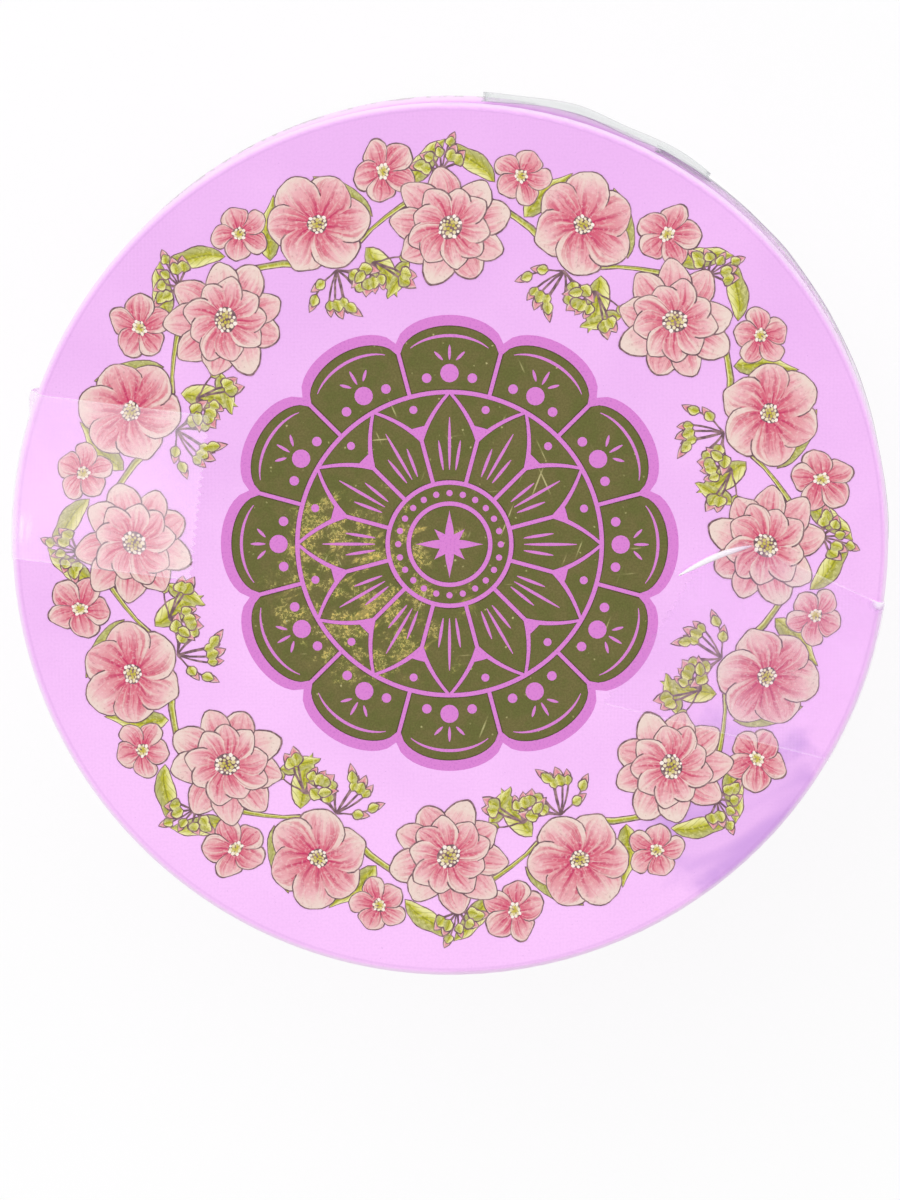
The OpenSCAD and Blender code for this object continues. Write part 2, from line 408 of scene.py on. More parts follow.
def lilac_ink(finish, weave):
    """Colour of the print, with its clouds, weave and specks, and painted light that makes it paler towards
    -Y.
    """
    # Random clouds in the ink, plus painted light: the ink is paler towards -Y.
    cloud_and_painted_light = finish.step(finish.noise(0.07, 3.0) - finish.y * 0.008, 0.05, 0.95)
    ground = finish.mix(cloud_and_painted_light, LILAC, LILAC_PALE)
    grain = finish.step(finish.noise(3.5, 2.0) + weave * 0.06, 0.35, 0.75)
    ground = finish.mix(grain * 0.10, ground, LILAC_SPECK_AND_SHADE)
    speck = finish.cells(0.9) < 0.05
    return finish.mix(speck * 0.45, ground, LILAC_SPECK_AND_SHADE)


def bare_tin(finish, tint):
    """Colour and roughness of lacquered tinplate, rolled along X."""
    rolled = finish.noise(1.0, 4.0, 0.6, finish.stretched(0, 0.08, 5.0))
    blotch = finish.step(finish.noise(0.22, 4.0, 0.6), 0.58, 0.75)
    tone = finish.mix(rolled * 0.35, tint, TINPLATE)
    tone = finish.mix(blotch * 0.25, tone, TIN_STAIN)
    return tone, rolled * 0.16 + blotch * 0.15 + 0.22


def printed_sheet(finish, printed, polish, ink, weave, tint):
    """Ink where printed is 1 and tinplate where it is 0, with a clear varnish as strong as polish."""
    metal, metal_rough = bare_tin(finish, tint)
    ink_rough = finish.noise(0.5, 4.0, 0.65) * 0.16 + 0.36
    return finish.feed(
        base_color=finish.mix(printed, metal, ink),
        metallic=1 - printed,
        roughness=printed * ink_rough + (1 - printed) * metal_rough,
        coat_weight=printed * polish,
        coat_roughness=0.3,
        normal=finish.bump(weave * printed * 0.006),
    )


print("ink and tinplate mixed")

# %% [markdown]
# The lid is one skin with print on its outside and metal on its inside, so its finish has to tell the two
# apart. A point is outside if it lies in the outer part of the sheet's thickness, which is measured from
# the centre of the rounded corner. Handling rubs the print pale where the lid turns its corner, and through
# to the metal in places along the hem.

# %% Lid
# The dark lilac blotch at the lower right of the face is a painted dark reflection.
LILAC_PAINTED_REFLECTION = colour(208, 158, 228)
LILAC_RUBBED = colour(244, 226, 246)
PAINTED_REFLECTION_AT = (33.0, -31.0)
PAINTED_REFLECTION_R = 13.0


def angle_round(finish):
    return finish.y.math("ARCTAN2", finish.y, finish.x)


def around(finish, spot, reach, ragged):
    """1 near a spot on the lid in millimetres, fading out at a ragged reach."""
    dx, dy = finish.x - spot[0], finish.y - spot[1]
    distance = (dx * dx + dy * dy) ** 0.5 + (finish.noise(0.3, 3.0) - 0.5) * 2 * ragged
    return finish.step(distance, reach, reach * 0.55)


def either(first, second):
    """The larger of two values."""
    return first.math("MAXIMUM", first, second)


def lid_finish():
    """Print outside and tinplate inside, rubbed along the corner and the hem, with a painted shade line
    at the face's edge and a painted dark reflection on the face.
    """
    finish = Finish("lid_print")
    flat_r = (LID_R - LID_CORNER) / MM
    flat_z = (LID_TOP - LID_CORNER) / MM
    crest_r = CURL_R / MM
    out = either(finish.radius - flat_r, 0.0)
    above = either(finish.z - flat_z, 0.0)
    outside = (out * out + above * above) ** 0.5 > (LID_CORNER - 0.8 * SHEET) / MM
    rubbed = finish.step(finish.noise(0.9, 4.0, 0.7), 0.46, 0.6)
    crest = finish.step(finish.radius, crest_r - 0.35, crest_r - 0.02)
    printed = outside * (1 - crest * rubbed * 0.8)
    on_top = finish.z > flat_z
    u = finish.x * on_top + angle_round(finish) * (LID_R / MM) * (1 - on_top)
    v = finish.y * on_top + finish.z * (1 - on_top)
    weave = linen(finish, u, v)
    streaks = finish.step(finish.noise(1.0, 2.0, 0.5, finish.stretched(0.5, 0.05, 0.2)), 0.36, 0.6)
    # The next mask is a painted dark reflection, streaked, on the face only.
    blotch = around(finish, PAINTED_REFLECTION_AT, PAINTED_REFLECTION_R, 5.0) * on_top * (streaks * 0.65 + 0.35)
    ink = finish.mix(blotch * 0.9, lilac_ink(finish, weave), LILAC_PAINTED_REFLECTION)
    # A thin darker line where the flat face meets its corner: painted shade.
    painted_shade_line = finish.step(abs(finish.radius - flat_r), 0.2, 0.05) * on_top
    ink = finish.mix(painted_shade_line * 0.18, ink, LILAC_SPECK_AND_SHADE)
    corner = finish.step(out, 0.15, 0.6) * finish.step(finish.z, flat_z - 1.2, flat_z)
    handled = either(corner * 0.65, finish.step(finish.radius, crest_r - 1.0, crest_r - 0.4) * 0.7)
    ink = finish.mix(handled, ink, LILAC_RUBBED)
    polish = corner * 0.15 + 0.12
    return printed_sheet(finish, printed, polish, ink, weave, TINPLATE)


def dress(node, material):
    """Gives a CAD piece its finish."""
    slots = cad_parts[node].data.materials
    slots.clear()
    slots.append(material)
    print("dressed", node, "with", material.name)


dress("lid_shell", lid_finish())

# %% [markdown]
# The body is printed only below the bead. A bare margin is left at the side seam, because ink would spoil
# the joint, and the bead has lost some of its ink to the lid that rests on it.

# %% Body
LACQUERED = colour(212, 204, 182)
SEAM_SHADE = colour(92, 80, 70)


def body_finish():
    """Print outside below the bead, with a bare margin at the side seam, and tinplate elsewhere."""
    finish = Finish("body_print")
    outside = finish.radius > (BODY_R - SHEET / 2) / MM
    below = finish.step(finish.z, BEAD_Z / MM + 0.9, BEAD_Z / MM + 0.6)
    behind = finish.y > 0
    seam = (abs(finish.x) < 1.6) * behind
    crease_and_painted_light = (abs(finish.x + 0.9) < 0.12) * behind
    on_bead = finish.step(finish.radius, BODY_R / MM + 0.45, BODY_R / MM + 0.75)
    worn = on_bead * finish.step(finish.noise(0.6, 4.0, 0.7), 0.5, 0.62)
    printed = outside * below * (1 - seam) * (1 - worn * 0.85)
    weave = linen(finish, angle_round(finish) * (BODY_R / MM), finish.z)
    tint = finish.mix(crease_and_painted_light * 0.8, LACQUERED, SEAM_SHADE)
    return printed_sheet(finish, printed, 0.12, lilac_ink(finish, weave), weave, tint)


dress("body_wall", body_finish())

# %% [markdown]
# The base is the plainest piece: unprinted tinplate with the grain of the rolling mill, rub marks in rings
# from years of turning on a shelf, and a little rust where the rolled seam traps damp.

# %% Base
RUST = colour(128, 84, 52)


def base_finish():
    finish = Finish("base_tinplate")
    tone, rough = bare_tin(finish, TINPLATE)
    rings = finish.noise(2.2, 3.0, 0.6, finish.join(finish.radius, finish.z * 0.4, 0.0))
    seam_r = (BODY_R - 2 * SHEET) / MM
    trapped = finish.step(finish.radius, seam_r - 3, seam_r) * 0.1
    damp = finish.step(finish.noise(0.35, 6.0, 0.68) + trapped, 0.68, 0.8)
    return finish.feed(
        base_color=finish.mix(damp * 0.55, tone, RUST),
        metallic=1 - damp * 0.7,
        roughness=rough + rings * 0.18 + damp * 0.3,
        normal=finish.bump(rings * 0.005),
    )


dress("base_end", base_finish())

# %% [markdown]
# The sifter is a disc of white plastic that has lived in powder. A dusting gathers on its face and round
# its holes, so it is chalkier there than where a puff has wiped it.

# %% Sifter
PLASTIC = colour(246, 245, 241)
PLASTIC_DUSTED = colour(251, 250, 248)


def sifter_finish():
    finish = Finish("sifter_plastic")
    dust = finish.step(finish.noise(0.16, 5.0, 0.65), 0.4, 0.62)
    speckle = finish.noise(6.0, 2.0)
    return finish.feed(
        base_color=finish.mix(dust, PLASTIC, PLASTIC_DUSTED),
        roughness=dust * 0.45 + speckle * 0.1 + 0.35,
        normal=finish.bump(speckle * dust * 0.01),
        subsurface_weight=0.1,
        subsurface_radius=(0.8 * MM, 0.7 * MM, 0.6 * MM),
    )


dress("sifter", sifter_finish())

# %% [markdown]
# The print on the lid is drawn with real shapes, as a printer's plates are cut: flat patches a few
# thousandths of a millimetre apart, one plate for each ink. Drawing it inside a shader would work too,
# but shapes keep a sharp edge at any distance. Each patch starts as a grid, and a short formula bends
# the grid to a petal, a stroke or a cell of foil. Every point remembers where it was in the grid,
# so that a finish can shade a petal from its root to its tip. The tape and the ribbon are bent grids too.

# %% Bent grids
def make_piece(name, bm, material, body, smooth=True):
    """Turns a bmesh into a piece that rides on a body."""
    mesh = bpy.data.meshes.new(name)
    bm.to_mesh(mesh)
    bm.free()
    mesh.materials.append(material)
    if smooth:
        mesh.shade_smooth()
    else:
        mesh.shade_flat()
    piece = bpy.data.objects.new(name, mesh)
    bpy.context.scene.collection.objects.link(piece)
    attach(piece, body)
    print(f"made {name}: {len(mesh.polygons)} faces on {body}")
    return piece


class Sheet:
    """A mesh of bent grids. Its points keep their share across, their share along and a tone."""

    def __init__(self):
        self.bm = bmesh.new()
        self.brush = self.bm.verts.layers.float_color.new("brush")

    def bend(self, surface, across, along):
        """Adds a grid. The surface gives a point and a tone for s from -1 to 1 and t from 0 to 1."""
        grid = bmesh.ops.create_grid(self.bm, x_segments=across, y_segments=along, size=0.5)
        for vert in grid["verts"]:
            s, t = 2 * vert.co.x, vert.co.y + 0.5
            vert.co, tone = surface(s, t)
            vert[self.brush] = (s / 2 + 0.5, t, tone, 1)

    def close(self):
        """Merges the points that meet at the tips of petals and the middle of the lid."""
        bmesh.ops.remove_doubles(self.bm, verts=self.bm.verts, dist=0.0005 * MM)
        return self.bm


print("sheets bend grids")

# %% [markdown]
# A printing plate is a sheet whose patches lie on the lid, each at its own small level. The drawing hand
# shakes by Blender's noise vectors. They start from the clock unless they are given a seed, and a print
# has to come out the same each time.

# %% Printing plates
PRINT_LEVEL = 0.006 * MM
HAND_SEED = 3
noise.seed_set(HAND_SEED)


class Plate(Sheet):
    """A printing plate, all for one ink, that lies on the lid."""

    def __init__(self, hand=0.0):
        super().__init__()
        self.hand = hand

    def lay(self, spot, level):
        """A point on the lid, moved a little as a drawing hand does."""
        shake = noise.noise_vector(Vector((spot.y, spot.x, 0)) / (5.5 * MM)) * 1.7
        shake += noise.noise_vector(Vector((spot.x, spot.y, 0)) / (2.1 * MM))
        shake += noise.noise_vector(Vector((spot.y, spot.x, MM)) / (0.75 * MM)) * 0.3
        return Vector((
            spot.x + shake.x * self.hand, spot.y + shake.y * self.hand, LID_TOP + level * PRINT_LEVEL
        ))

    def patch(self, outline, place, level, tone=0.5, tilt=0.0, across=4, along=10):
        """Adds a flat patch. The outline gives a point in the patch's own place."""

        def surface(s, t):
            x, y = outline(s, t)
            return self.lay(place @ Vector((x, y, 0)), level + tilt * s), tone

        self.bend(surface, across, along)

    def dot(self, place, radius, level, tone=0.5, sides=16):
        """Adds a round spot."""
        made = bmesh.ops.create_circle(self.bm, cap_ends=True, segments=sides, radius=radius)
        for vert in made["verts"]:
            vert[self.brush] = (0.5, 0.5, tone, 1)
            vert.co = self.lay(place @ vert.co, level)

    def repeat(self, count):
        """Turns copies of everything on the plate round the middle of the lid."""
        bmesh.ops.spin(
            self.bm, geom=self.bm.verts[:] + self.bm.edges[:] + self.bm.faces[:],
            cent=(0, 0, 0), axis=(0, 0, 1), angle=2 * math.pi * (count - 1) / count, steps=count - 1,
            use_duplicate=True,
        )


def spot_at(radius, angle, turn=0.0):
    """A place on the lid, in polar form, turned by its own angle and a further turn."""
    out = Matrix.Translation((radius, 0, 0))
    return Matrix.Rotation(angle, 4, "Z") @ out @ Matrix.Rotation(turn, 4, "Z")


CENTRE = Matrix.Identity(4)
print(f"plates lie {PRINT_LEVEL / MM:.3f} mm apart")

# %% [markdown]
# The middle of the lid is a medallion in gold foil: a ring of scallops round a star of twelve rays.
# It stands on a darker lilac ground, which shows as thin lines between the cells of foil and as a
# border round them. Each cell is a grid in polar form, from an inner to an outer edge.

# %% Medallion shapes
RAYS = 12
PITCH = 2 * math.pi / RAYS
FOIL_GAP = 0.45 * MM
FOIL_BORDER = 1.2 * MM
SCALLOP_IN, SCALLOP_SIDE, SCALLOP_OUT = 17.6 * MM, 21.8 * MM, 24.9 * MM
STAR_IN, STAR_VALLEY, STAR_OUT = 7.3 * MM, 12.2 * MM, 17.1 * MM
DART_IN = STAR_VALLEY + 1.6 * MM
RING_IN, RING_OUT = 4.9 * MM, 6.8 * MM
HUB_R = 4.4 * MM
GROUND, FOIL, DRAWN = 0.5, 1.5, 2.5
FRAMED, OPEN = 1.0, 0.0


def cell_outline(inner, outer, half):
    """A cell between two edges, with a half angle that depends on the radius."""

    def outline(s, t):
        radius = inner(s) + t * (outer(s) - inner(s))
        angle = s * half(radius)
        return radius * math.cos(angle), -radius * math.sin(angle)

    return outline


def constant(value):
    return lambda share: value


def scallop_edge(s):
    return SCALLOP_SIDE + (SCALLOP_OUT - SCALLOP_SIDE) * math.sqrt(1 - 0.96 * s * s)


def scallop_border(s):
    return scallop_edge(s) + FOIL_BORDER


def star_edge(s):
    return STAR_OUT - (STAR_OUT - STAR_VALLEY) * abs(s)


def between_cells(radius):
    return PITCH / 2 - FOIL_GAP / 2 / radius


def dart_half(radius):
    opening = PITCH / 2 * (radius - STAR_VALLEY) / (STAR_OUT - STAR_VALLEY)
    return max(opening - FOIL_GAP / radius, 0.0)


foil, ground, lines = Plate(), Plate(), Plate()
half_turn = Matrix.Rotation(PITCH / 2, 4, "Z")
whole = constant(PITCH / 2)
backing = cell_outline(constant(0.0), scallop_border, whole)
scallop = cell_outline(constant(SCALLOP_IN), scallop_edge, between_cells)
ray = cell_outline(constant(STAR_IN), star_edge, between_cells)
dart = cell_outline(constant(DART_IN), constant(STAR_OUT), dart_half)
ring = cell_outline(constant(RING_IN), constant(RING_OUT), whole)
hub = cell_outline(constant(0.0), constant(HUB_R), whole)

ground.patch(backing, CENTRE, GROUND, across=16, along=8)
foil.patch(scallop, CENTRE, FOIL, FRAMED, across=20, along=8)
foil.patch(ray, CENTRE, FOIL, FRAMED, across=10, along=8)
foil.patch(dart, half_turn, FOIL, FRAMED, across=8, along=6)
foil.patch(ring, CENTRE, FOIL, OPEN, across=6)
foil.patch(hub, CENTRE, FOIL, OPEN, across=6)
print("one ray of the foil has", len(foil.bm.faces), "faces")

# %% [markdown]
# Fine lilac lines and pearls are drawn over the foil. A stroke is a grid that follows a path, and its
# width may change along it, as a pen's does.

# %% Lines on the foil
LINE = 0.34 * MM


def stroke_outline(path, width):
    """A ribbon along a path from 0 to 1, with a width that depends on the share of the path."""

    def outline(s, t):
        here, ahead = path(t), path(t + 0.001)
        step = (ahead - here).normalized()
        return here + Vector((step.y, -step.x)) * (s * width(t) / 2)

    return outline


def pen(width):
    """A stroke that swells in the middle and ends in points."""
    return lambda t: width * math.sin(math.pi * min(max(t, 0.02), 0.98)) ** 0.5


def polar(radius, angle):
    return Vector((radius * math.cos(angle), radius * math.sin(angle)))


def line_between(start, end):
    return lambda t: start.lerp(end, t)


def scallop_echo(t):
    s = 1.5 * (t - 0.5)
    return polar(scallop_edge(s) - 1.15 * MM, s * PITCH / 2)


lines.patch(stroke_outline(scallop_echo, pen(LINE)), CENTRE, DRAWN, across=2, along=20)
for side in (-1, 0, 1):
    lean = side * PITCH * 0.2
    near = polar(STAR_IN + 1.2 * MM, lean * 0.8)
    far = polar(STAR_OUT - (2.6 + 2.6 * abs(side)) * MM, lean)
    lines.patch(stroke_outline(line_between(near, far), pen(LINE)), CENTRE, DRAWN, across=2, along=8)
    pearl = spot_at((19.5 - abs(side) * 0.4) * MM, side * PITCH * 0.26)
    lines.dot(pearl, (1.05 - 0.5 * abs(side)) * MM, DRAWN)
    root = polar(SCALLOP_IN + 3.4 * MM, side * PITCH * 0.07)
    fan = polar(SCALLOP_OUT - (2.2 + 0.7 * abs(side)) * MM, side * PITCH * 0.15)
    lines.patch(stroke_outline(line_between(root, fan), pen(LINE)), CENTRE, DRAWN, across=2, along=6)
for place in (CENTRE, half_turn):
    lines.dot(place @ spot_at((RING_IN + RING_OUT) / 2, 0), 0.36 * MM, DRAWN)
lines.dot(half_turn @ spot_at(STAR_OUT - 1.25 * MM, 0), 0.46 * MM, DRAWN)
for plate in (foil, ground, lines):
    plate.repeat(RAYS)
print("lines on", RAYS, "rays have", len(lines.bm.faces), "faces")

# %% [markdown]
# A small compass star marks the middle of the hub. Its points overlap at their roots, and two faces at
# one height would flicker black in a render, so each point lies a hair higher than the last.

# %% Hub star
HUB_POINTS = 8
HAIR = 0.06


def petal_outline(length, width, belly=1.0, fullness=1.0, bend=0.0, grow=0.0):
    """A petal or leaf along +X: belly moves its widest part out, and a low fullness rounds its tip.
    The sine crowds the grid's rows at the tip, so that it is round."""

    def outline(s, t):
        t = math.sin(t * math.pi / 2)
        swell = max(math.sin(math.pi * t**belly), 0.0) ** fullness
        along = t * (length + 2 * grow) - grow
        across = -s * swell * (width / 2 + grow) + bend * along * along / length
        return along, across

    return outline


for point in range(HUB_POINTS):
    reach = (3.9 if point % 2 == 0 else 2.5) * MM
    needle = petal_outline(reach, 1.0 * MM, belly=0.55, fullness=1.2)
    turned = Matrix.Rotation(point * 2 * math.pi / HUB_POINTS, 4, "Z")
    lines.patch(needle, turned, DRAWN + point * HAIR, along=12)
print("hub star with", HUB_POINTS, "points")

# %% [markdown]
# Foil is a mirror that years of handling have scuffed. Where it is whole it shows the dim ceiling and
# looks olive. A scratch or a crinkle is rough and dull, so it gathers light from all round and shines
# pale or yellow. The finish keeps one gold and lets the roughness of wear make much of the light and dark,
# and it paints worn flecks a brighter yellow and scratches a paler gold, as painted glints on real wear.
# Specks and short scratches are the cores of cells, stretched for the scratches. The crinkled place at
# the left is a scatter of flecks, bright in patches by painted glint.

# %% Foil
GOLD = colour(227, 214, 139)
GOLD_GREEN = colour(205, 208, 123)
GOLD_GRAIN = colour(174, 163, 100)
# The worn and scuffed golds are brighter than the foil: painted glints on real wear.
GOLD_WORN_GLINT = colour(246, 214, 116)
FOIL_SCUFF_GLINT = colour(224, 216, 164)
FOIL_EDGE = colour(120, 92, 84)
CRINKLE_AT = (-9.5, -5.0)
CRINKLE_R = 12.5


def scratches(finish, angle, density):
    """Short thin scratches in one direction, in patches."""
    here = finish.stretched(angle, 0.06, 1.1)
    patches = finish.step(finish.noise(0.2, 2.0, 0.5), 0.56 - density, 0.66 - density)
    return finish.step(finish.cells(1.0, at=here), 0.15, 0.04) * patches


def foil_finish():
    finish = Finish("gold_foil")
    across, along, framed = finish.brush()
    crinkled = around(finish, CRINKLE_AT, CRINKLE_R, 9.0)
    cracked = crinkled * finish.step(finish.noise(0.4, 4.0, 0.6), 0.44, 0.6)
    flecks = finish.step(finish.noise(3.3, 3.0, 0.7), 0.49, 0.65)
    # Patches where the worn flecks are painted bright, as painted glints.
    painted_glint = finish.step(finish.noise(0.8, 3.0, 0.6), 0.3, 0.65)
    bruise = finish.noise(0.45, 4.0, 0.6, finish.stretched(0.5, 0.5, 1.3))
    bruised = crinkled * finish.step(bruise, 0.57, 0.65)
    worn = either(cracked * (flecks * painted_glint * 0.9 + 0.12), bruised * (flecks * 0.6 + 0.35))
    scored = either(scratches(finish, 2.0, 0.05), scratches(finish, 1.2, 0.04))
    scored = either(scratches(finish, 0.08, 0.04), scored)
    ragged = (finish.noise(3.0, 2.0) - 0.5) * 0.2
    sparse = finish.step(finish.noise(0.4, 2.0), 0.4, 0.55)
    specks = finish.step(finish.cells(0.75) + ragged, 0.13, 0.02) * sparse
    scuff = either(scored, specks) * 0.75
    mottle = finish.step(finish.noise(0.45, 4.0, 0.65), 0.35, 0.65)
    grain = finish.step(finish.noise(4.5, 2.0, 0.6), 0.3, 0.7)
    tone = finish.mix(mottle, GOLD, GOLD_GREEN)
    tone = finish.mix(grain * 0.45, tone, GOLD_GRAIN)
    tone = finish.mix(worn, tone, GOLD_WORN_GLINT)
    tone = finish.mix(scuff, tone, FOIL_SCUFF_GLINT)
    side_edge = finish.step(abs(across * 2 - 1), 0.96, 1.0) * framed
    edge = either(side_edge, finish.step(abs(along * 2 - 1), 0.95, 1.0))
    dull = either(worn, scuff)
    weave = linen(finish, finish.x, finish.y)
    return finish.feed(
        base_color=finish.mix(edge * 0.7, tone, FOIL_EDGE),
        metallic=1 - dull * 0.7,
        roughness=dull * 0.4 + mottle * 0.06 + 0.16,
        normal=finish.bump(flecks * cracked * 0.05 + weave * 0.002),
    )


make_piece("medallion_foil", foil.close(), foil_finish(), "lid", smooth=False)

# %% [markdown]
# The ground under the foil and the lines over it are one flat lilac ink. A fine uneven halftone keeps it
# from looking like paint.

# %% Medallion ink
GROUND_LILAC = colour(222, 134, 214)
GROUND_DOT = colour(186, 96, 188)


def plain_ink(name, tint, dot):
    """Flat ink with a fine irregular halftone."""
    finish = Finish(name)
    dots = finish.step(finish.noise(4.5, 2.0), 0.5, 0.68)
    cloud = finish.noise(0.4, 3.0)
    return finish.feed(
        base_color=finish.mix(dots * 0.4 + cloud * 0.1, tint, dot), roughness=cloud * 0.15 + 0.3
    )


medallion_ink = plain_ink("medallion_ink", GROUND_LILAC, GROUND_DOT)
make_piece("medallion_ground", ground.close(), medallion_ink, "lid", smooth=False)
make_piece("medallion_lines", lines.close(), medallion_ink, "lid", smooth=False)

# %% [markdown]
# Round the medallion runs a border of garden flowers on a winding stem. One eighth of it is drawn and
# then turned round the lid. Every shape has a slightly larger shape in brown ink under it, which is its
# outline. The two are shaken by slightly different hands, so the outline swells and thins as a pencil
# line does.

# %% Border plates, stem and leaves
WAVES = 8
WAVE = 2 * math.pi / WAVES
STEM_R = 37.8 * MM
STEM_SWING = 2.4 * MM
OUTLINE = 0.14 * MM
paint = random.Random(4)

ink, petals, greens, hearts = Plate(0.30 * MM), Plate(0.26 * MM), Plate(0.26 * MM), Plate(0.26 * MM)


def painted(plate, outline, place, level, tone, tilt=0.0, across=6, along=12):
    """A painted patch and its ink outline. The outline is a function of how far it grows."""
    ink.patch(outline(OUTLINE), place, level - 0.5, tone, tilt, across=2, along=along)
    plate.patch(outline(0.0), place, level, tone, tilt, across=across, along=along)


def add_stem(path, width, level):
    def outline(grow):
        return stroke_outline(path, lambda t: width * (1 - 0.35 * t) + 2 * grow)

    painted(greens, outline, CENTRE, level, 0.35, across=2, along=16)


def add_leaf(place, length, bend, level):
    def outline(grow):
        return petal_outline(length, length * 0.36, belly=0.85, fullness=0.9, bend=bend, grow=grow)

    painted(greens, outline, place, level, paint.uniform(0.2, 1.0), along=16)


print("border of", WAVES, "equal parts on four plates")

# %% [markdown]
# A flower is a ring of petals about a heart of stamens, and a bud is a petal in a green cup. Neighbouring
# petals tilt by a hair, so that each one overlaps the next as the blades of a fan do. Sizes, turns and
# tones come from a seeded random generator, so no two petals are alike and every run is the same.

# %% Flowers and buds
PETAL_TILT = 0.35
GOLDEN_ANGLE = math.pi * (3 - math.sqrt(5))


def add_petal(place, length, width, level, tone, fullness=0.62):
    bend = paint.uniform(-0.08, 0.08)

    def outline(grow):
        return petal_outline(length, width, belly=1.5, fullness=fullness, bend=bend, grow=grow)

    painted(petals, outline, place, level, tone, tilt=PETAL_TILT)


def add_heart(place, radius, level):
    """A flower's heart: stamens packed in a spiral, as seeds are in a sunflower."""
    count = max(int(radius / MM * 24), 7)
    ink.dot(place, radius * 1.05, level - 0.5)
    for stamen in range(count):
        out = radius * math.sqrt((stamen + 0.5) / count)
        size = paint.uniform(0.14, 0.22) * MM
        there = place @ spot_at(out, stamen * GOLDEN_ANGLE)
        hearts.dot(there, size, level + stamen * 0.01, stamen / count, sides=8)


def add_flower(place, size, count, width, level, rows=1, heart=0.2, rose=(0.0, 1.0), fullness=0.62):
    """A round flower: rows of petals about a heart. Rose is the range of the petals' tones."""
    for row in range(rows):
        for index in range(count):
            turn = (index + 0.5 * row) * 2 * math.pi / count + paint.uniform(-0.07, 0.07)
            length = size * (1 - 0.32 * row) * paint.uniform(0.92, 1.05)
            turned = place @ Matrix.Rotation(turn, 4, "Z")
            tone = paint.uniform(*rose)
            add_petal(turned, length, width * (1 - 0.2 * row), level + 2 * row, tone, fullness)
    add_heart(place, heart * size, level + 2 * rows)


def add_bud(place, length, level):
    """A closed bud: a rose tip in a green cup."""

    def tip(grow):
        return petal_outline(length * 1.15, length * 0.5, belly=1.0, fullness=1.0, grow=grow)

    def cup(grow):
        return petal_outline(length * 0.75, length * 0.66, belly=0.85, fullness=0.65, grow=grow)

    painted(petals, tip, place, level, 1.0, across=4, along=8)
    painted(greens, cup, place, level + 1.0, paint.uniform(0.4, 0.9), across=4, along=8)


def add_spray(place, count, reach, level):
    """A loose spray of buds on thin stalks."""
    for index in range(count):
        lean = (index / (count - 1) - 0.5) * 2.4 + paint.uniform(-0.2, 0.2)
        length = reach * paint.uniform(0.35, 1.0)
        stalk = stroke_outline(line_between(Vector((0, 0)), polar(length, lean)), constant(0.22 * MM))
        ink.patch(stalk, place, level - 1.2 + index * HAIR, across=2, along=4)
        tip = place @ Matrix.Rotation(lean, 4, "Z") @ Matrix.Translation((length, 0, 0))
        nod = Matrix.Rotation(paint.uniform(-0.5, 0.5), 4, "Z")
        size = paint.uniform(1.5, 2.0) * MM
        add_bud(tip @ nod, size, level + index * HAIR)


print("petals tilt by", PETAL_TILT, "of a level")

# %% [markdown]
# The stem swings in and out once in each eighth. A double flower sits inside its outer bend and an open
# one outside its inner bend, and blossoms, leaves and sprays of buds fill the ground between them.

# %% One eighth of the border
def main_stem(t):
    angle = (t - 0.5) * WAVE
    return polar(STEM_R + STEM_SWING * math.cos(WAVES * angle), angle)


def on_border(radius, share, turn=0.0):
    """A place on the border by its radius in millimetres and its share of an eighth from the middle."""
    return spot_at(radius * MM, share * WAVE, turn)


add_stem(main_stem, 0.55 * MM, 1.0)
LEAF_LEVEL = 2.5
add_leaf(on_border(41.5, -0.16, 0.9), 6.6 * MM, 0.16, LEAF_LEVEL)
add_leaf(on_border(41.0, 0.14, -0.6), 6.4 * MM, -0.18, LEAF_LEVEL + 2 * HAIR)
add_leaf(on_border(35.0, 0.36, -2.6), 6.8 * MM, -0.16, LEAF_LEVEL + 4 * HAIR)
add_leaf(on_border(38.5, 0.30, 0.6), 7.4 * MM, 0.15, LEAF_LEVEL + 6 * HAIR)
add_leaf(on_border(38.0, -0.28, -0.5), 7.2 * MM, -0.14, LEAF_LEVEL + 8 * HAIR)
add_leaf(on_border(32.4, 0.18, 2.4), 4.8 * MM, 0.12, LEAF_LEVEL + 10 * HAIR)

add_spray(on_border(33.8, 0.5, math.pi), 10, 4.2 * MM, 4.5)
add_spray(on_border(33.2, 0.33, math.pi + 0.2), 7, 3.4 * MM, 5.6)
add_spray(on_border(42.2, 0.03, 0.2), 7, 3.0 * MM, 4.5)
add_flower(on_border(42.9, 0.22, 0.3), 3.6 * MM, 5, 3.0 * MM, 6.5, heart=0.22, rose=(0.6, 1.0))
add_flower(on_border(42.4, -0.25, 1.1), 3.3 * MM, 5, 2.8 * MM, 6.5, heart=0.22, rose=(0.5, 1.0))
add_flower(
    on_border(39.4, 0.5, 0.2), 6.0 * MM, 6, 5.0 * MM, 8.5, heart=0.17, rose=(0.25, 0.8), fullness=0.55
)
add_flower(on_border(36.0, 0.0, 0.1), 6.7 * MM, 9, 3.6 * MM, 9.5, rows=2, heart=0.18, rose=(0.1, 0.8))
for plate in (ink, petals, greens, hearts):
    plate.repeat(WAVES)
print("the border has", len(petals.bm.faces), "faces of petal")

# %% [markdown]
# The border is coloured as a painter in watercolour and pencil would: a rose stain at the root of each
# petal, streaks that run out along it, and paper left almost bare at its edge. The place of a point in
# its petal drives all of that, and cloudy noise breaks it up.

# %% Petals
ROSE = colour(196, 40, 96)
ROSE_WASH = colour(214, 86, 116)
PINK = colour(226, 140, 152)
BLUSH = colour(237, 182, 187)
CREAM = colour(237, 214, 204)
PENCIL_PALE = colour(246, 226, 220)
PENCIL_DARK = colour(166, 104, 114)


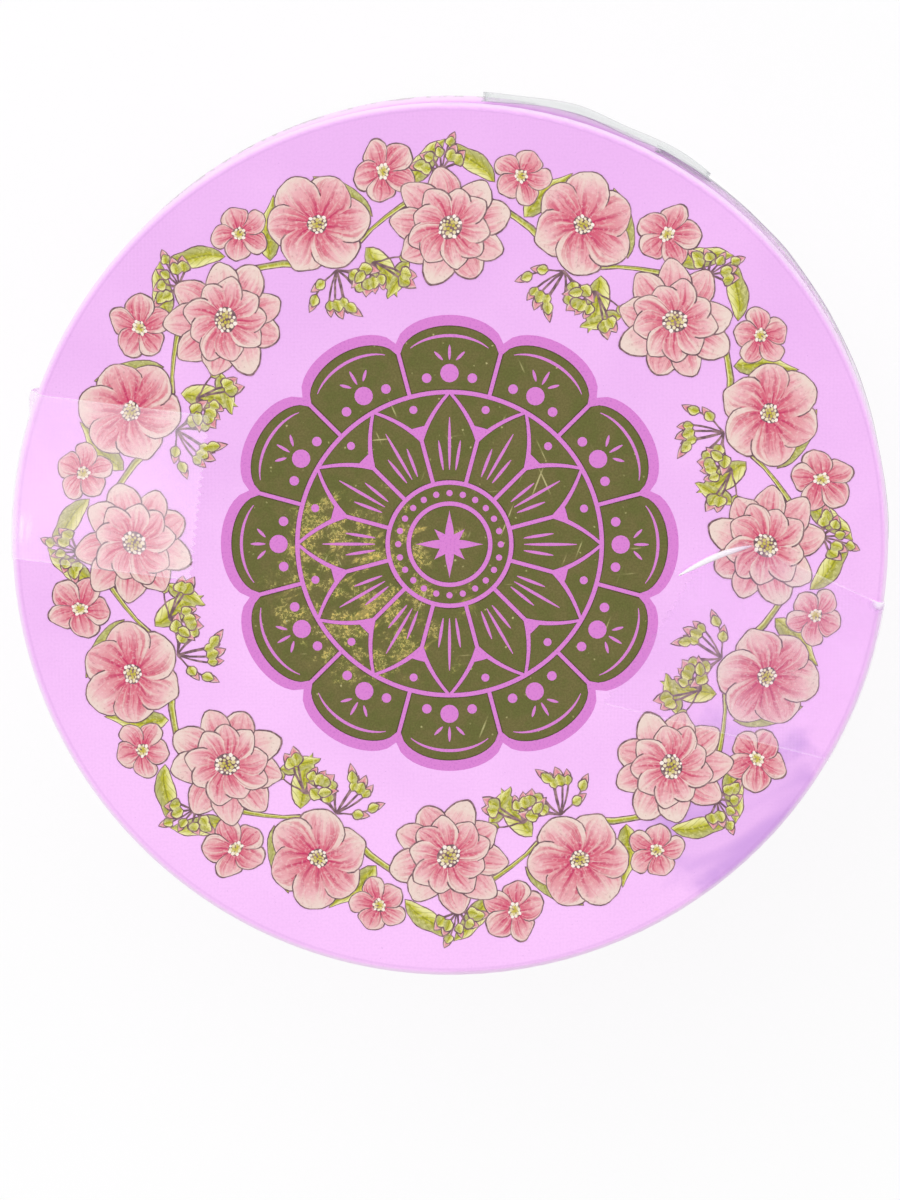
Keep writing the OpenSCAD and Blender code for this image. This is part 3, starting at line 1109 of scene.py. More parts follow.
def petal_finish():
    finish = Finish("petal_wash")
    across, along, tone = finish.brush()
    s = across * 2 - 1
    out = sine(along * (math.pi / 2))
    wobble = finish.noise(0.8, 3.0) - 0.5
    flow = out * (1.2 - tone * 0.5) + wobble * 0.3
    wash = finish.ramp(flow, [(0.0, ROSE), (0.16, ROSE_WASH), (0.42, PINK), (0.74, BLUSH), (1.0, CREAM)])
    pale_side = abs(s - sine(tone * 37.0) * 0.5) + wobble * 0.5
    wash = finish.mix(finish.step(pale_side, 0.7, 1.25) * finish.step(out, 0.1, 0.5) * 0.85, wash, CREAM)
    strokes = finish.noise(1.0, 4.0, 0.65, finish.join(s * 5.0 + tone * 40.0, out * 0.9, tone * 23.0))
    light = finish.step(strokes, 0.54, 0.64)
    deep = finish.step(strokes, 0.47, 0.39) * finish.step(flow, 1.15, 0.4)
    wash = finish.mix(light * 0.55, wash, CREAM)
    wash = finish.mix(deep * 0.75, wash, ROSE_WASH)
    vein = sine(s * (tone * 3.0 + 8.0) + wobble * 2.0 + tone * 9.0)
    wash = finish.mix(finish.step(vein, 0.55, 0.95) * finish.step(flow, 0.9, 0.15) * 0.85, wash, ROSE)
    edge = finish.step(abs(s) + wobble * 0.3, 0.8, 1.0) * finish.step(out, 0.2, 0.5)
    wash = finish.mix(edge * 0.7, wash, CREAM)
    pencil = finish.noise(2.8, 3.0, 0.6)
    wash = finish.mix(finish.step(pencil, 0.52, 0.68) * 0.35, wash, PENCIL_PALE)
    wash = finish.mix(finish.step(pencil, 0.42, 0.3) * 0.35, wash, PENCIL_DARK)
    return finish.feed(base_color=wash, roughness=pencil * 0.12 + 0.34)


make_piece("border_petals", petals.close(), petal_finish(), "lid", smooth=False)

# %% [markdown]
# Leaves are washed in two greens, darker on one side of the rib, and their veins are drawn in the deeper
# one. The outline is a brown pencil that presses harder in places. The stamens go from ochre in the
# middle of a heart to cream at its edge.

# %% Leaves, outlines and hearts
LEAF = colour(196, 192, 54)
LEAF_DEEP = colour(122, 122, 38)
LEAF_PALE = colour(238, 232, 164)
OUTLINE_BROWN = colour(112, 84, 92)
OUTLINE_FAINT = colour(164, 130, 132)
OCHRE = colour(196, 180, 70)
STRAW = colour(232, 214, 170)
POLLEN = colour(250, 240, 232)


def leaf_finish():
    finish = Finish("leaf_wash")
    across, along, tone = finish.brush()
    s = across * 2 - 1
    out = sine(along * (math.pi / 2))
    wobble = finish.noise(1.1, 3.0) - 0.5
    wash = finish.mix(finish.step(abs(s) + wobble * 0.6, 0.1, 0.9), LEAF, LEAF_PALE)
    shade = finish.step(s + wobble * 0.8, -0.1, 0.5) * (1 - tone * 0.6)
    wash = finish.mix(shade * 0.7, wash, LEAF_DEEP)
    rib = finish.step(abs(s), 0.14, 0.04)
    side_veins = finish.step(sine((out - abs(s) * 0.3) * 34.0), 0.7, 1.0)
    wash = finish.mix(either(rib * 0.7, side_veins * 0.4), wash, LEAF_DEEP)
    pencil = finish.noise(2.6, 3.0, 0.6)
    wash = finish.mix(finish.step(pencil, 0.48, 0.68) * 0.45, wash, LEAF_PALE)
    return finish.feed(base_color=wash, roughness=pencil * 0.12 + 0.34)


def outline_finish():
    finish = Finish("outline_ink")
    press = finish.noise(1.6, 3.0)
    tone = finish.mix(finish.step(press, 0.38, 0.68), OUTLINE_BROWN, OUTLINE_FAINT)
    return finish.feed(base_color=tone, roughness=press * 0.2 + 0.3)


def heart_finish():
    finish = Finish("heart_stipple")
    tone = finish.brush()[2]
    glaze = finish.noise(2.0, 2.0) - 0.5
    stops = [(0.05, OCHRE), (0.4, STRAW), (0.8, POLLEN)]
    return finish.feed(base_color=finish.ramp(tone + glaze * 0.4, stops), roughness=glaze * 0.2 + 0.36)


make_piece("border_outlines", ink.close(), outline_finish(), "lid", smooth=False)
make_piece("border_leaves", greens.close(), leaf_finish(), "lid", smooth=False)
make_piece("border_hearts", hearts.close(), heart_finish(), "lid", smooth=False)

# %% [markdown]
# Two strips of clear tape run from the face of the lid over its edge and down to the body. They have
# been slit along the lid's hem, so that each has a part on the lid and a tail on the body. A strip is one
# grid whose rows lie flat, bend round the lid's corner and then drop down the skirt. Its end was torn on a
# cutter, which leaves teeth, so the first rows of the grid start in a zigzag. Where the right strip was
# pulled, a sharp fold stands up from it: a narrow second grid on top of the first, white along its
# length as a painted glint.

# %% Tape over the lid's edge
TAPE_W = 19 * MM
TAPE_T = 0.05 * MM
TAPE_LIFT = 0.13 * MM
TEETH = 20
TOOTH = 0.5 * MM
TOOTH_ROWS = 3
FLAT_ROWS, CORNER_ROWS, SKIRT_ROWS = 60, 6, 16
LID_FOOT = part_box("tape_left")[0].z


def hill(value, middle, half_width):
    """A smooth bump of height 1."""
    share = min(abs(value - middle) / half_width, 1.0)
    return (1 - share * share) ** 2


def toothed(s):
    """How late a column of the tape starts."""
    return TOOTH * abs((s + 1) * TEETH % 2 - 1)


def tape_over_lid(bearing, shift, start, crease_and_painted_light, pull=0.0):
    """A surface for a strip along a bearing. The crease function gives its height and its whiteness, which
    is painted glint, at a side and a reach, and pull is how far the corner at its torn end was dragged
    sideways."""
    turn = Matrix.Rotation(math.radians(bearing), 3, "Z")
    rows = FLAT_ROWS + CORNER_ROWS + SKIRT_ROWS
    flat_r = LID_R - LID_CORNER

    def surface(s, t):
        side, row = -s, round(t * rows)
        share = min(row / FLAT_ROWS, 1.0)
        v = shift + side * TAPE_W / 2
        edge = math.sqrt(flat_r**2 - v**2)
        reach = start(side) + (edge - start(side)) * share + toothed(s) * max(1 - row / TOOTH_ROWS, 0.0)
        past = max(row - FLAT_ROWS, 0)
        rise, white = crease_and_painted_light(side, (reach + past * 0.3 * MM) / MM)
        wave = noise.noise(Vector((reach / (9 * MM), side * 1.5, bearing)))
        lift = TAPE_LIFT + wave * 0.03 * MM + rise * MM
        bow = min(past / CORNER_ROWS, 1.0) * math.pi / 2
        drop = max(past - CORNER_ROWS, 0) / SKIRT_ROWS * (LID_TOP - LID_CORNER - LID_FOOT)
        radial = Vector((edge, v)).normalized() * (LID_CORNER + lift) * math.sin(bow)
        z = LID_TOP - LID_CORNER + (LID_CORNER + lift) * math.cos(bow) - drop
        dragged = pull * max(side, 0.0) ** 2 * (1 - share)
        return turn @ Vector((reach + radial.x, v + dragged + radial.y, z)), white

    return surface, 4 * TEETH, rows


def tape_fold_with_glint(bearing, start, end, width, height):
    """A surface for a sharp fold that stands up from a strip, between two points of its own plane. Its
    whiteness is a painted glint.
    """
    turn = Matrix.Rotation(math.radians(bearing), 3, "Z")

    def path(t):
        return start.lerp(end, t) + Vector((0, 0.5 * MM * math.sin(math.pi * t)))

    outline = stroke_outline(path, pen(width))

    def surface(s, t):
        x, y = outline(s, t)
        return turn @ Vector((x, y, LID_TOP + TAPE_LIFT + TAPE_T + height * (1 - s * s))), 1 - 0.5 * t**4

    return surface, 4, 24


print(f"tape {TAPE_W / MM:.0f} mm wide, down to {LID_FOOT / MM:.1f} mm above the table")

# %% [markdown]
# Each strip has marks of its own. The left one is torn square, and has a dog-ear and a pucker where it
# turns over the edge. The right one is torn on a slant and creased at its rim. The white of the dog-ear,
# of the pucker's crests and of the right rim's crease is painted highlight. Bearings are in degrees,
# from the right of the lid and anticlockwise.

# %% Marks on the two strips
LEFT_BEARING, LEFT_SHIFT = 173, -1.7 * MM
RIGHT_BEARING, RIGHT_SHIFT = -14, -4 * MM
RIGHT_PULL = 3.2 * MM
left_start = constant(28.7 * MM)


# Rise and whiteness of the left strip: the white of the dog-ear and the pucker's crests is painted
# highlight.
def left_crease_and_glint(side, reach):
    dog_ear = hill(side, -1.0, 0.3) * hill(reach, 50.2, 2.6)
    pucker = hill(side, 0.62, 0.24) * hill(reach, 48.7, 1.7) * (0.5 + 0.5 * math.sin(7.0 * reach))
    return dog_ear * 0.7 + pucker * 0.2, dog_ear * 0.35 + pucker * 0.45


def right_start(side):
    return 25.0 * MM + side * 3.8 * MM + max(side * TAPE_W / 2 - 6.2 * MM, 0.0)


# Rise and whiteness of the right strip's crease at the rim: the white is a painted glint.
def right_crease_and_glint(side, reach):
    rim_glint = hill(side, 0.97, 0.1) * hill(reach, 49.2, 1.4)
    return rim_glint * 0.3, rim_glint * 0.9


print(f"left tape starts {left_start(0) / MM:.1f} mm out, right tape {right_start(0) / MM:.1f} mm out")

# %% [markdown]
# Tape of this age is milky in places. It is a thin glossy film with a see-through finish: a little haze
# all over, more in soft clouds and along its edges, and white where it has been creased, which is painted
# glint. On the clear strip the soft clouds and the lilac shadow colour are painted reflections of the
# film's waves.

# %% Tape finish and the two strips
TAPE_WHITE = colour(254, 250, 255)


def tape_finish(name, haze, cloudy, hem, shadow, bleached=1.0):
    """Haze, cloudy and hem are shares of cover. Bleached is how white the film turns, with age and by the
    painted glints of its creases.
    """
    finish = Finish(name)
    across, along, crease_and_painted_light = finish.brush()
    cloud = finish.step(finish.noise(0.11, 2.0, 0.5), 0.28, 0.72)
    edge = finish.step(abs(across * 2 - 1), 0.97, 0.99)
    dust = finish.step(finish.noise(1.8, 4.0, 0.7), 0.62, 0.74)
    veil = cloud * cloudy + haze + edge * hem + crease_and_painted_light * 0.85 + dust * 0.04
    below = finish.step(finish.z, LID_TOP / MM - 0.3, LID_TOP / MM - 1.2)
    # The whiteness at creases, the fold and the rim is painted glint.
    white = either(either(cloud * 0.4, below), either(crease_and_painted_light, edge)) * bleached
    return finish.feed(
        base_color=finish.mix(white, shadow, TAPE_WHITE),
        alpha=veil.math("MINIMUM", veil, 0.95),
        roughness=dust * 0.2 + cloud * 0.1 + 0.12,
        normal=finish.bump(cloud * 0.05),
        ior=1.47,
    )


def add_tape(name, surfaces, material, body, *nodes):
    strip = Sheet()
    for surface, across, along in surfaces:
        strip.bend(surface, across, along)
    piece = make_piece(name, strip.bm, material, body)
    film = piece.modifiers.new("film", "SOLIDIFY")
    film.thickness = TAPE_T
    film.offset = 0
    piece.visible_shadow = False
    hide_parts(*nodes)


milky = tape_finish("milky_tape", haze=0.13, cloudy=0.05, hem=0.05, shadow=colour(250, 238, 250))
# The clear strip's lilac shadow colour and its white clouds are painted reflections of its waves.
clear = tape_finish("clear_tape", haze=0.03, cloudy=0.08, hem=0.03, shadow=colour(206, 166, 218))
left_strip = tape_over_lid(LEFT_BEARING, LEFT_SHIFT, left_start, left_crease_and_glint)
add_tape("left_tape", [left_strip], milky, "lid", "tape_left")
fold_start, fold_end = Vector((26.2, 2.9)) * MM, Vector((33.4, 8.2)) * MM
right_fold_glint = tape_fold_with_glint(RIGHT_BEARING, fold_start, fold_end, width=0.7 * MM, height=0.25 * MM)
right_strip = tape_over_lid(RIGHT_BEARING, RIGHT_SHIFT, right_start, right_crease_and_glint, pull=RIGHT_PULL)
add_tape("right_tape", [right_strip, right_fold_glint], clear, "lid", "tape_right")

# %% [markdown]
# A third length of tape goes round the side. It has come loose: one run stands a little off the skirt,
# and the last run buckles away from the hem. The tails of the two strips keep to the body below.

# %% Tape round the side and tails on the body
band_low, band_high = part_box("tape_band")
BAND_MID = (band_low.z + band_high.z) / 2
tail_low, tail_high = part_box("tape_left_tail")


def tape_round_side(start, end, stand_off):
    """A surface round the lid's side between two angles in degrees. It bridges from the skirt to the
    hem. Stand_off gives how far it stands off and how milky it is."""

    def surface(s, t):
        late = toothed(s) / CURL_R * (1 if t < 0.5 else -1) * hill(abs(t - 0.5), 0.5, 0.02)
        angle = math.radians(start + t * (end - start)) + late
        wave = noise.noise(Vector((angle * 9, s * 1.2, 3))) * 0.12 * MM
        over_hem = hill(max(s, 0.2), 1.0, 0.8)
        off, veil = stand_off(t, s)
        radius = LID_R + 0.4 * MM + over_hem * (LID_CURL - 0.5 * MM) + wave + off
        veil += hill(t, 1.0, 0.04) * 0.3 + hill(t, 0.0, 0.03) * 0.3
        spot = polar(radius, angle).to_3d()
        spot.z = BAND_MID - s * TAPE_W / 2
        return spot, veil

    return surface, 4 * TEETH, 72


def hugging(t, s):
    """Lies close at its start. Further on it stands off the skirt, and its upper edge curls out."""
    free = min(max((t - 0.3) / 0.4, 0.0), 1.0)
    lip = max(-0.85 - s, 0.0) / 0.15
    return free * (0.15 + 0.35 * lip) * MM, free * lip * 0.35


def flagging(t, s):
    """Buckles away from the hem twice, leans out along its lower edge and is milky all over."""
    buckle = hill(t, 0.62, 0.3) + hill(t, 0.14, 0.3)
    return (0.05 + 0.45 * buckle + 0.16 * (1 + s)) * MM, 0.3


def tape_tail(bearing, shift):
    """A surface for the tail of a strip, on the body below the bead."""
    turn = Matrix.Rotation(math.radians(bearing), 3, "Z")

    def surface(s, t):
        v = shift + s * TAPE_W / 2
        radius = BODY_R + 0.06 * MM
        torn = toothed(s) * hill(t, 0.0, 0.05)
        z = tail_low.z + torn + t * (tail_high.z - tail_low.z)
        return turn @ Vector((math.sqrt(radius**2 - v**2), v, z)), hill(t, 1.0, 0.06) * 0.4

    return surface, 4 * TEETH, 20


loose_grey = colour(200, 207, 205)
loose = tape_finish("loose_tape", haze=0.12, cloudy=0.06, hem=0.35, shadow=loose_grey, bleached=0.0)
runs = [tape_round_side(-8, 62, hugging), tape_round_side(54, 86, flagging)]
add_tape("side_tape", runs, loose, "lid", "tape_band")
add_tape("left_tail", [tape_tail(LEFT_BEARING, LEFT_SHIFT)], milky, "tin", "tape_left_tail")
add_tape("right_tail", [tape_tail(RIGHT_BEARING, RIGHT_SHIFT)], clear, "tin", "tape_right_tail")

# %% [markdown]
# Under the sifter lies the talc. The CAD has it as a plain solid. Here it is turned from a profile, and
# its top is left uneven, as powder settles. A spin doesn't promise the order of the points that it makes.
# Random tufts and a cloth simulation both go by that order, so every turning is sorted: by height, then
# by distance from the axis, then by angle.

# %% Talc
powder_low, powder_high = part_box("powder_fill")
POWDER_R = powder_high.x
BASE_STEP_R = 40.8 * MM
BASE_STEP = 0.5 * MM
TALC = colour(251, 249, 247)
TALC_SHADE = colour(244, 241, 238)


def turning_order(spot):
    """One number that sorts the points of a turning."""
    height, out = round(spot.z / MM, 2), round(spot.xy.length / MM, 2)
    return height * 1e7 + out * 1e4 + math.atan2(spot.y, spot.x)


def put_in_order(bm):
    """Sorts points, edges and faces, so that every run has them in one order."""
    bm.verts.sort(key=lambda vert: turning_order(vert.co))
    bm.edges.sort(key=lambda edge: turning_order((edge.verts[0].co + edge.verts[1].co) / 2))
    bm.faces.sort(key=lambda face: turning_order(face.calc_center_median()))


def lathe(profile, steps):
    """Spins a profile of radius and height round the middle of the tin, and closes it."""
    bm = bmesh.new()
    corners = [bm.verts.new((radius, 0, height)) for radius, height in profile]
    edges = [bm.edges.new(pair) for pair in zip(corners, corners[1:])]
    bmesh.ops.spin(
        bm, geom=corners + edges, cent=(0, 0, 0), axis=(0, 0, 1), angle=2 * math.pi, steps=steps,
        use_merge=True,
    )
    bmesh.ops.remove_doubles(bm, verts=bm.verts, dist=0.01 * MM)
    bmesh.ops.recalc_face_normals(bm, faces=bm.faces)
    put_in_order(bm)
    return bm


def even_steps(start, end, count):
    """Points from start up to end, without the end."""
    return [start + (end - start) * index / count for index in range(count)]


talc_profile = [(0.0, powder_low.z + BASE_STEP), (BASE_STEP_R, powder_low.z + BASE_STEP)]
talc_profile += [(BASE_STEP_R, powder_low.z), (POWDER_R, powder_low.z)]
talc_profile += [(radius, powder_high.z) for radius in even_steps(POWDER_R, 0.0, 30)]
talc_profile += [(0.0, powder_high.z)]
heap = lathe(talc_profile, 96)
for vert in heap.verts:
    if vert.co.z > powder_high.z - 0.1 * MM:
        drift = noise.fractal(vert.co / (9 * MM), 0.8, 2.0, 4)
        vert.co.z += (drift * 0.9 - 0.7) * MM


def talc_finish():
    finish = Finish("talc")
    grain = finish.noise(5.0, 4.0, 0.7)
    drift = finish.noise(0.2, 3.0)
    return finish.feed(
        base_color=finish.mix(drift, TALC_SHADE, TALC),
        roughness=grain * 0.1 + 0.86,
        normal=finish.bump(grain * 0.08),
    )


talc_bed = make_piece("talc_bed", heap, talc_finish(), "tin")
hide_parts("powder_fill")

# %% [markdown]
# The puff has a face of long velour and a padded satin back. The face is turned from a rounded profile
# and roughened. Its tufts are the faces of a second, finer turning: each face is pushed out on its own
# and shrunk to a point, because a pile shows its depth at its edge. A turning crowds its faces at the
# middle, so the tufts there grow from a small square grid, cut to a disc.

# %% Velour face
pile_low, pile_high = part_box("puff_pile")
PILE_R = pile_high.x
PILE_ROUND = 2.4 * MM
PILE_INSET = 0.9 * MM
PILE_UNDER = pile_low.z + PILE_INSET * 0.4
BACK_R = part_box("puff_back")[1].x
TUFT_LENGTH = (0.9 * MM, 1.7 * MM)
TUFT_TOSS = 0.55
CROWDED_R = 8 * MM
DISC_R = 8.7 * MM
DISC_ROWS = 18
fluff = random.Random(11)


def arc(out, height, radius, start, end, count):
    """Points of a profile on an arc about a centre, from an angle in degrees up to another."""
    bows = [math.radians(angle) for angle in even_steps(start, end, count)]
    return [(out + radius * math.cos(bow), height + radius * math.sin(bow)) for bow in bows]


def velour_profile(flat_rows, round_rows):
    """The face's outline from its underside to its top, inset to leave room for the tufts."""
    high, flat = pile_high.z, PILE_R - PILE_INSET - PILE_ROUND
    profile = [(radius, PILE_UNDER) for radius in even_steps(0.0, flat, flat_rows)]
    profile += arc(flat, PILE_UNDER + PILE_ROUND, PILE_ROUND, -90, 0, round_rows)
    profile += arc(flat, high - PILE_ROUND, PILE_ROUND, 0, 90, round_rows)
    profile += [(radius, high) for radius in even_steps(flat, 0.0, flat_rows)]
    return profile + [(0.0, high)]


def roughen(bm):
    bm.normal_update()
    for vert in bm.verts:
        lump = noise.fractal(vert.co / (3 * MM), 0.9, 2.0, 3)
        vert.co += vert.normal * (lump * 0.22 - 0.1) * MM


def off_axis(face):
    """How far the middle of a face is from the axis of the tin."""
    return face.calc_center_median().xy.length


velour = lathe(velour_profile(20, 6), 144)
roughen(velour)

tufts = lathe(velour_profile(24, 12), 300)
under_satin = [face for face in tufts.faces if face.normal.z > 0.9 and off_axis(face) < BACK_R - 2 * MM]
crowded = [face for face in tufts.faces if face.normal.z < 0 and off_axis(face) < CROWDED_R]
bmesh.ops.delete(tufts, geom=under_satin + crowded, context="FACES")
underside = Matrix.Translation((0, 0, PILE_UNDER)) @ Matrix.Rotation(math.pi, 4, "X")
square = bmesh.ops.create_grid(
    tufts, x_segments=DISC_ROWS, y_segments=DISC_ROWS, size=DISC_R, matrix=underside
)
corners = {face for vert in square["verts"] for face in vert.link_faces if off_axis(face) > DISC_R}
bmesh.ops.delete(tufts, geom=list(corners), context="FACES")
roughen(tufts)
tip_layer = tufts.verts.layers.float_color.new("brush")
for face in bmesh.ops.extrude_discrete_faces(tufts, faces=tufts.faces)["faces"]:
    toss = Vector((fluff.uniform(-1, 1), fluff.uniform(-1, 1), fluff.uniform(-1, 1))) * TUFT_TOSS
    middle = face.calc_center_median()
    tip = middle + (face.normal + toss) * fluff.uniform(*TUFT_LENGTH)
    tip.z = max(tip.z, pile_low.z - 0.1 * MM)
    for vert in face.verts:
        vert.co = tip + (vert.co - middle) * 0.2
        vert[tip_layer] = (0.5, 1, 1, 1)
print("tufts have", len(tufts.faces), "faces")

# %% [markdown]
# A pile is darker at its roots, because light hardly reaches them. The tips carry a mark that the finish
# reads, so they take a paler pink, and a dusting of talc lies over all of it in soft patches.

# %% Velour
ROOT, ROOT_PALE = colour(228, 132, 166), colour(240, 164, 190)
TIP, TIP_PALE = colour(251, 188, 210), colour(254, 214, 228)
PILE_DUSTED = colour(253, 238, 242)


def velour_finish():
    finish = Finish("velour")
    tip = finish.brush()[2]
    clump = finish.noise(0.6, 4.0, 0.65)
    dusted = finish.step(finish.noise(0.1, 2.0), 0.3, 0.8)
    root = finish.mix(clump, ROOT, ROOT_PALE)
    tone = finish.mix(tip, root, finish.mix(clump, TIP, TIP_PALE))
    return finish.feed(
        base_color=finish.mix(dusted * 0.25, tone, PILE_DUSTED),
        roughness=clump * 0.1 + 0.86,
        normal=finish.bump(finish.noise(4.0, 3.0) * 0.15),
        sheen_weight=0.2,
        sheen_roughness=0.4,
    )


plush = velour_finish()
puff_face = make_piece("puff_face", velour, plush, "puff")
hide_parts("puff_pile")
make_piece("puff_tufts", tufts, plush, "puff")

# %% [markdown]
# The back is a satin cushion over cotton wadding. It starts as a flat dome of cloth that dips where the
# two ends of the ribbon are sewn down. The dome is slightly uneven, because on a perfect one only rounding
# errors would decide where the cloth folds when it is filled.

# %% Dome of satin
back_low, back_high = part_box("puff_back")
DOME = back_high.z - back_low.z
DOME_R = (BACK_R**2 + DOME**2) / (2 * DOME)
TAB_X = 31.5 * MM
TAB_SINK = 0.5 * MM
TAB_REACH = 4.5 * MM
UNEVEN = 0.25 * MM


def dome_z(radius):
    """Height of the back's dome, before it is filled."""
    return back_high.z - DOME_R + math.sqrt(DOME_R**2 - radius**2)


def near_tab(spot):
    """Distance from the nearer end of the ribbon, as a share of the reach of its dip."""
    return Vector((abs(spot.x) - TAB_X, spot.y)).length / TAB_REACH


dome_profile = [(radius, back_low.z + 0.05 * MM) for radius in even_steps(0.0, BACK_R, 6)]
dome_profile += [(radius, dome_z(radius)) for radius in even_steps(BACK_R, 0.0, 44)] + [(0.0, back_high.z)]
dome = lathe(dome_profile, 192)
for vert in dome.verts:
    if vert.co.z > back_low.z + 0.5 * MM:
        vert.co.z -= TAB_SINK * hill(near_tab(vert.co), 0.0, 1.6)
        vert.co.z += UNEVEN * noise.noise(vert.co / (8 * MM)) * hill(vert.co.xy.length, 0.0, BACK_R)
print(f"dome {DOME / MM:.1f} mm high on a radius of {BACK_R / MM:.1f} mm")

# %% [markdown]
# The cushion is made as a real one is filled: the cloth is held where it is sewn, and pressure from inside
# lifts the rest in Blender's cloth simulation. The cloth is cut a little too large, so it wrinkles by
# itself. No point may move further than a cap, which keeps the satin under its ribbon. All the rows of the
# dome meet in the middle and would pinch to a point there, so that part is smoothed. Gathers along the
# seam come last.

# %% Filling and gathers
PUFF_FRAMES = 20
PUFF_PRESSURE = 4.0
PUFF_CAP = 1.6 * MM
SPARE_CLOTH = 0.05
PINCH_R = 24 * MM
PINCH_ROUNDS = 6
PINCH_PASSES = 25
GATHERS = 84


def fill_with_wadding(piece, sewn):
    """Inflates a piece that is held at its sewn points, and keeps the shape it takes."""
    seam = piece.vertex_groups.new(name="seam")
    seam.add(sewn, 1.0, "REPLACE")
    cloth = piece.modifiers.new("cloth", "CLOTH")
    cloth.settings.vertex_group_mass = "seam"
    cloth.settings.use_pressure = True
    cloth.settings.uniform_pressure_force = PUFF_PRESSURE
    cloth.settings.shrink_min = -SPARE_CLOTH
    cloth.settings.effector_weights.gravity = 0
    for step in range(1, PUFF_FRAMES + 1):
        bpy.context.scene.frame_set(step)
    filled = piece.evaluated_get(bpy.context.evaluated_depsgraph_get()).data
    moves = [after.co - before.co for after, before in zip(filled.vertices, piece.data.vertices)]
    piece.modifiers.remove(cloth)
    piece.vertex_groups.remove(seam)
    bpy.context.scene.frame_set(1)
    for vert, move in zip(piece.data.vertices, moves):
        vert.co += move * min(1.0, PUFF_CAP / max(move.length, 0.001 * MM))
    print(f"wadding moved the satin by up to {max(move.length for move in moves) / MM:.1f} mm")


def relax(piece):
    """Smooths the middle, where all the rows of the dome meet and the cloth would pinch to a point."""
    bm = bmesh.new()
    bm.from_mesh(piece.data)
    upper = [vert for vert in bm.verts if vert.co.z > back_low.z + MM]
    for reach in even_steps(PINCH_R, 0.0, PINCH_ROUNDS):
        middle = [vert for vert in upper if vert.co.xy.length < reach]
        for _ in range(PINCH_PASSES):
            bmesh.ops.smooth_vert(
                bm, verts=middle, factor=0.5, use_axis_x=True, use_axis_y=True, use_axis_z=True
            )
    bm.to_mesh(piece.data)
    bm.free()


def gather(piece):
    """Small pleats along the seam, deeper towards it."""
    for vert in piece.data.vertices:
        radius = vert.co.xy.length
        if vert.co.z > back_low.z + 0.3 * MM and radius > 0.6 * BACK_R:
            angle = math.atan2(vert.co.y, vert.co.x)
            pleat = math.sin(GATHERS * angle + 2.5 * noise.noise(vert.co / (6 * MM)))
            depth = hill(radius, BACK_R, 0.34 * BACK_R) * (1 - hill(radius, BACK_R, 0.03 * BACK_R))
            vert.co.z += pleat * depth * 0.35 * MM


print(f"filling runs for {PUFF_FRAMES} frames and moves a point by {PUFF_CAP / MM:.1f} mm at most")

# %% [markdown]
# Satin has long floats of thread on its face, so it shines along one direction. Fine ribs, slubs and a slow
# change of tone keep it from looking like plastic. The ribbon gets the same recipe in a deeper pink, with
# a selvedge.

# %% Satin cushion
SATIN, SATIN_DEEP = colour(244, 190, 210), colour(228, 158, 188)


def satin_finish(name, light, dark, ribs):
    """Woven satin: fine ribs, a soft change of tone and a low sheen."""
    finish = Finish(name)
    across, along, _ = finish.brush()
    weave = sine(finish.x * 26.0 + finish.noise(1.5, 2.0) * 3.0)
    cloud = finish.noise(0.1, 3.0)
    slub = finish.step(finish.noise(1.0, 3.0, 0.6, finish.stretched(math.pi / 2, 0.15, 6.0)), 0.6, 0.72)
    tone = finish.mix(finish.step(cloud, 0.15, 0.85), light, dark)
    tone = finish.mix(slub * 0.3, tone, light)
    selvedge = finish.step(abs(across * 2 - 1), 0.8, 0.9) * ribs
    return finish.feed(
        base_color=finish.mix(selvedge * 0.4, tone, dark),
        roughness=weave * 0.05 + slub * 0.1 + 0.33,
        normal=finish.bump(weave * 0.006 + sine(along * 420.0) * ribs * 0.02),
        sheen_weight=0.25,
        sheen_roughness=0.35,
        anisotropic=0.4,
    )


satin = satin_finish("satin", SATIN, SATIN_DEEP, ribs=0.0)
puff_cushion = make_piece("puff_cushion", dome, satin, "puff")
sewn = [
    vert.index for vert in puff_cushion.data.vertices
    if vert.co.z < back_low.z + 0.2 * MM
    or vert.co.xy.length > BACK_R - 0.5 * MM
    or near_tab(vert.co) < 0.8
]
fill_with_wadding(puff_cushion, sewn)
relax(puff_cushion)
gather(puff_cushion)
softened = puff_cushion.modifiers.new("softened", "SUBSURF")
softened.levels = softened.render_levels = 1
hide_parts("puff_back", "puff_wadding")

# %% [markdown]
# A rolled binding covers the seam between satin and velour. It is a ring with a slight twist, like a
# cord, turned from a circle and pushed in and out along its normals.

# %% Binding
BINDING_R = 0.85 * MM
BINDING_OUT = BACK_R + 0.1 * MM
BINDING_Z = back_low.z + 0.35 * MM
TWISTS = 150
TWIST_DEPTH = 0.07 * MM

ring_profile = arc(BINDING_OUT, BINDING_Z, BINDING_R, 0, 360, 12)
binding = lathe(ring_profile + ring_profile[:1], 900)
binding.normal_update()
for vert in binding.verts:
    round_puff = math.atan2(vert.co.y, vert.co.x)
    round_cord = math.atan2(vert.co.z - BINDING_Z, vert.co.xy.length - BINDING_OUT)
    vert.co += vert.normal * TWIST_DEPTH * math.sin(TWISTS * round_puff + 2 * round_cord)
make_piece("puff_binding", binding, satin, "puff")

# %% [markdown]
# The ribbon is the puff's handle. It lies flat on the satin at both ends, where it is stitched, and stands
# in an arch between them. One formula takes the higher of the dome and the arch, with a soft change from
# one to the other, so that the ribbon bends there as cloth does. The length of that path is the length
# of ribbon that was cut.

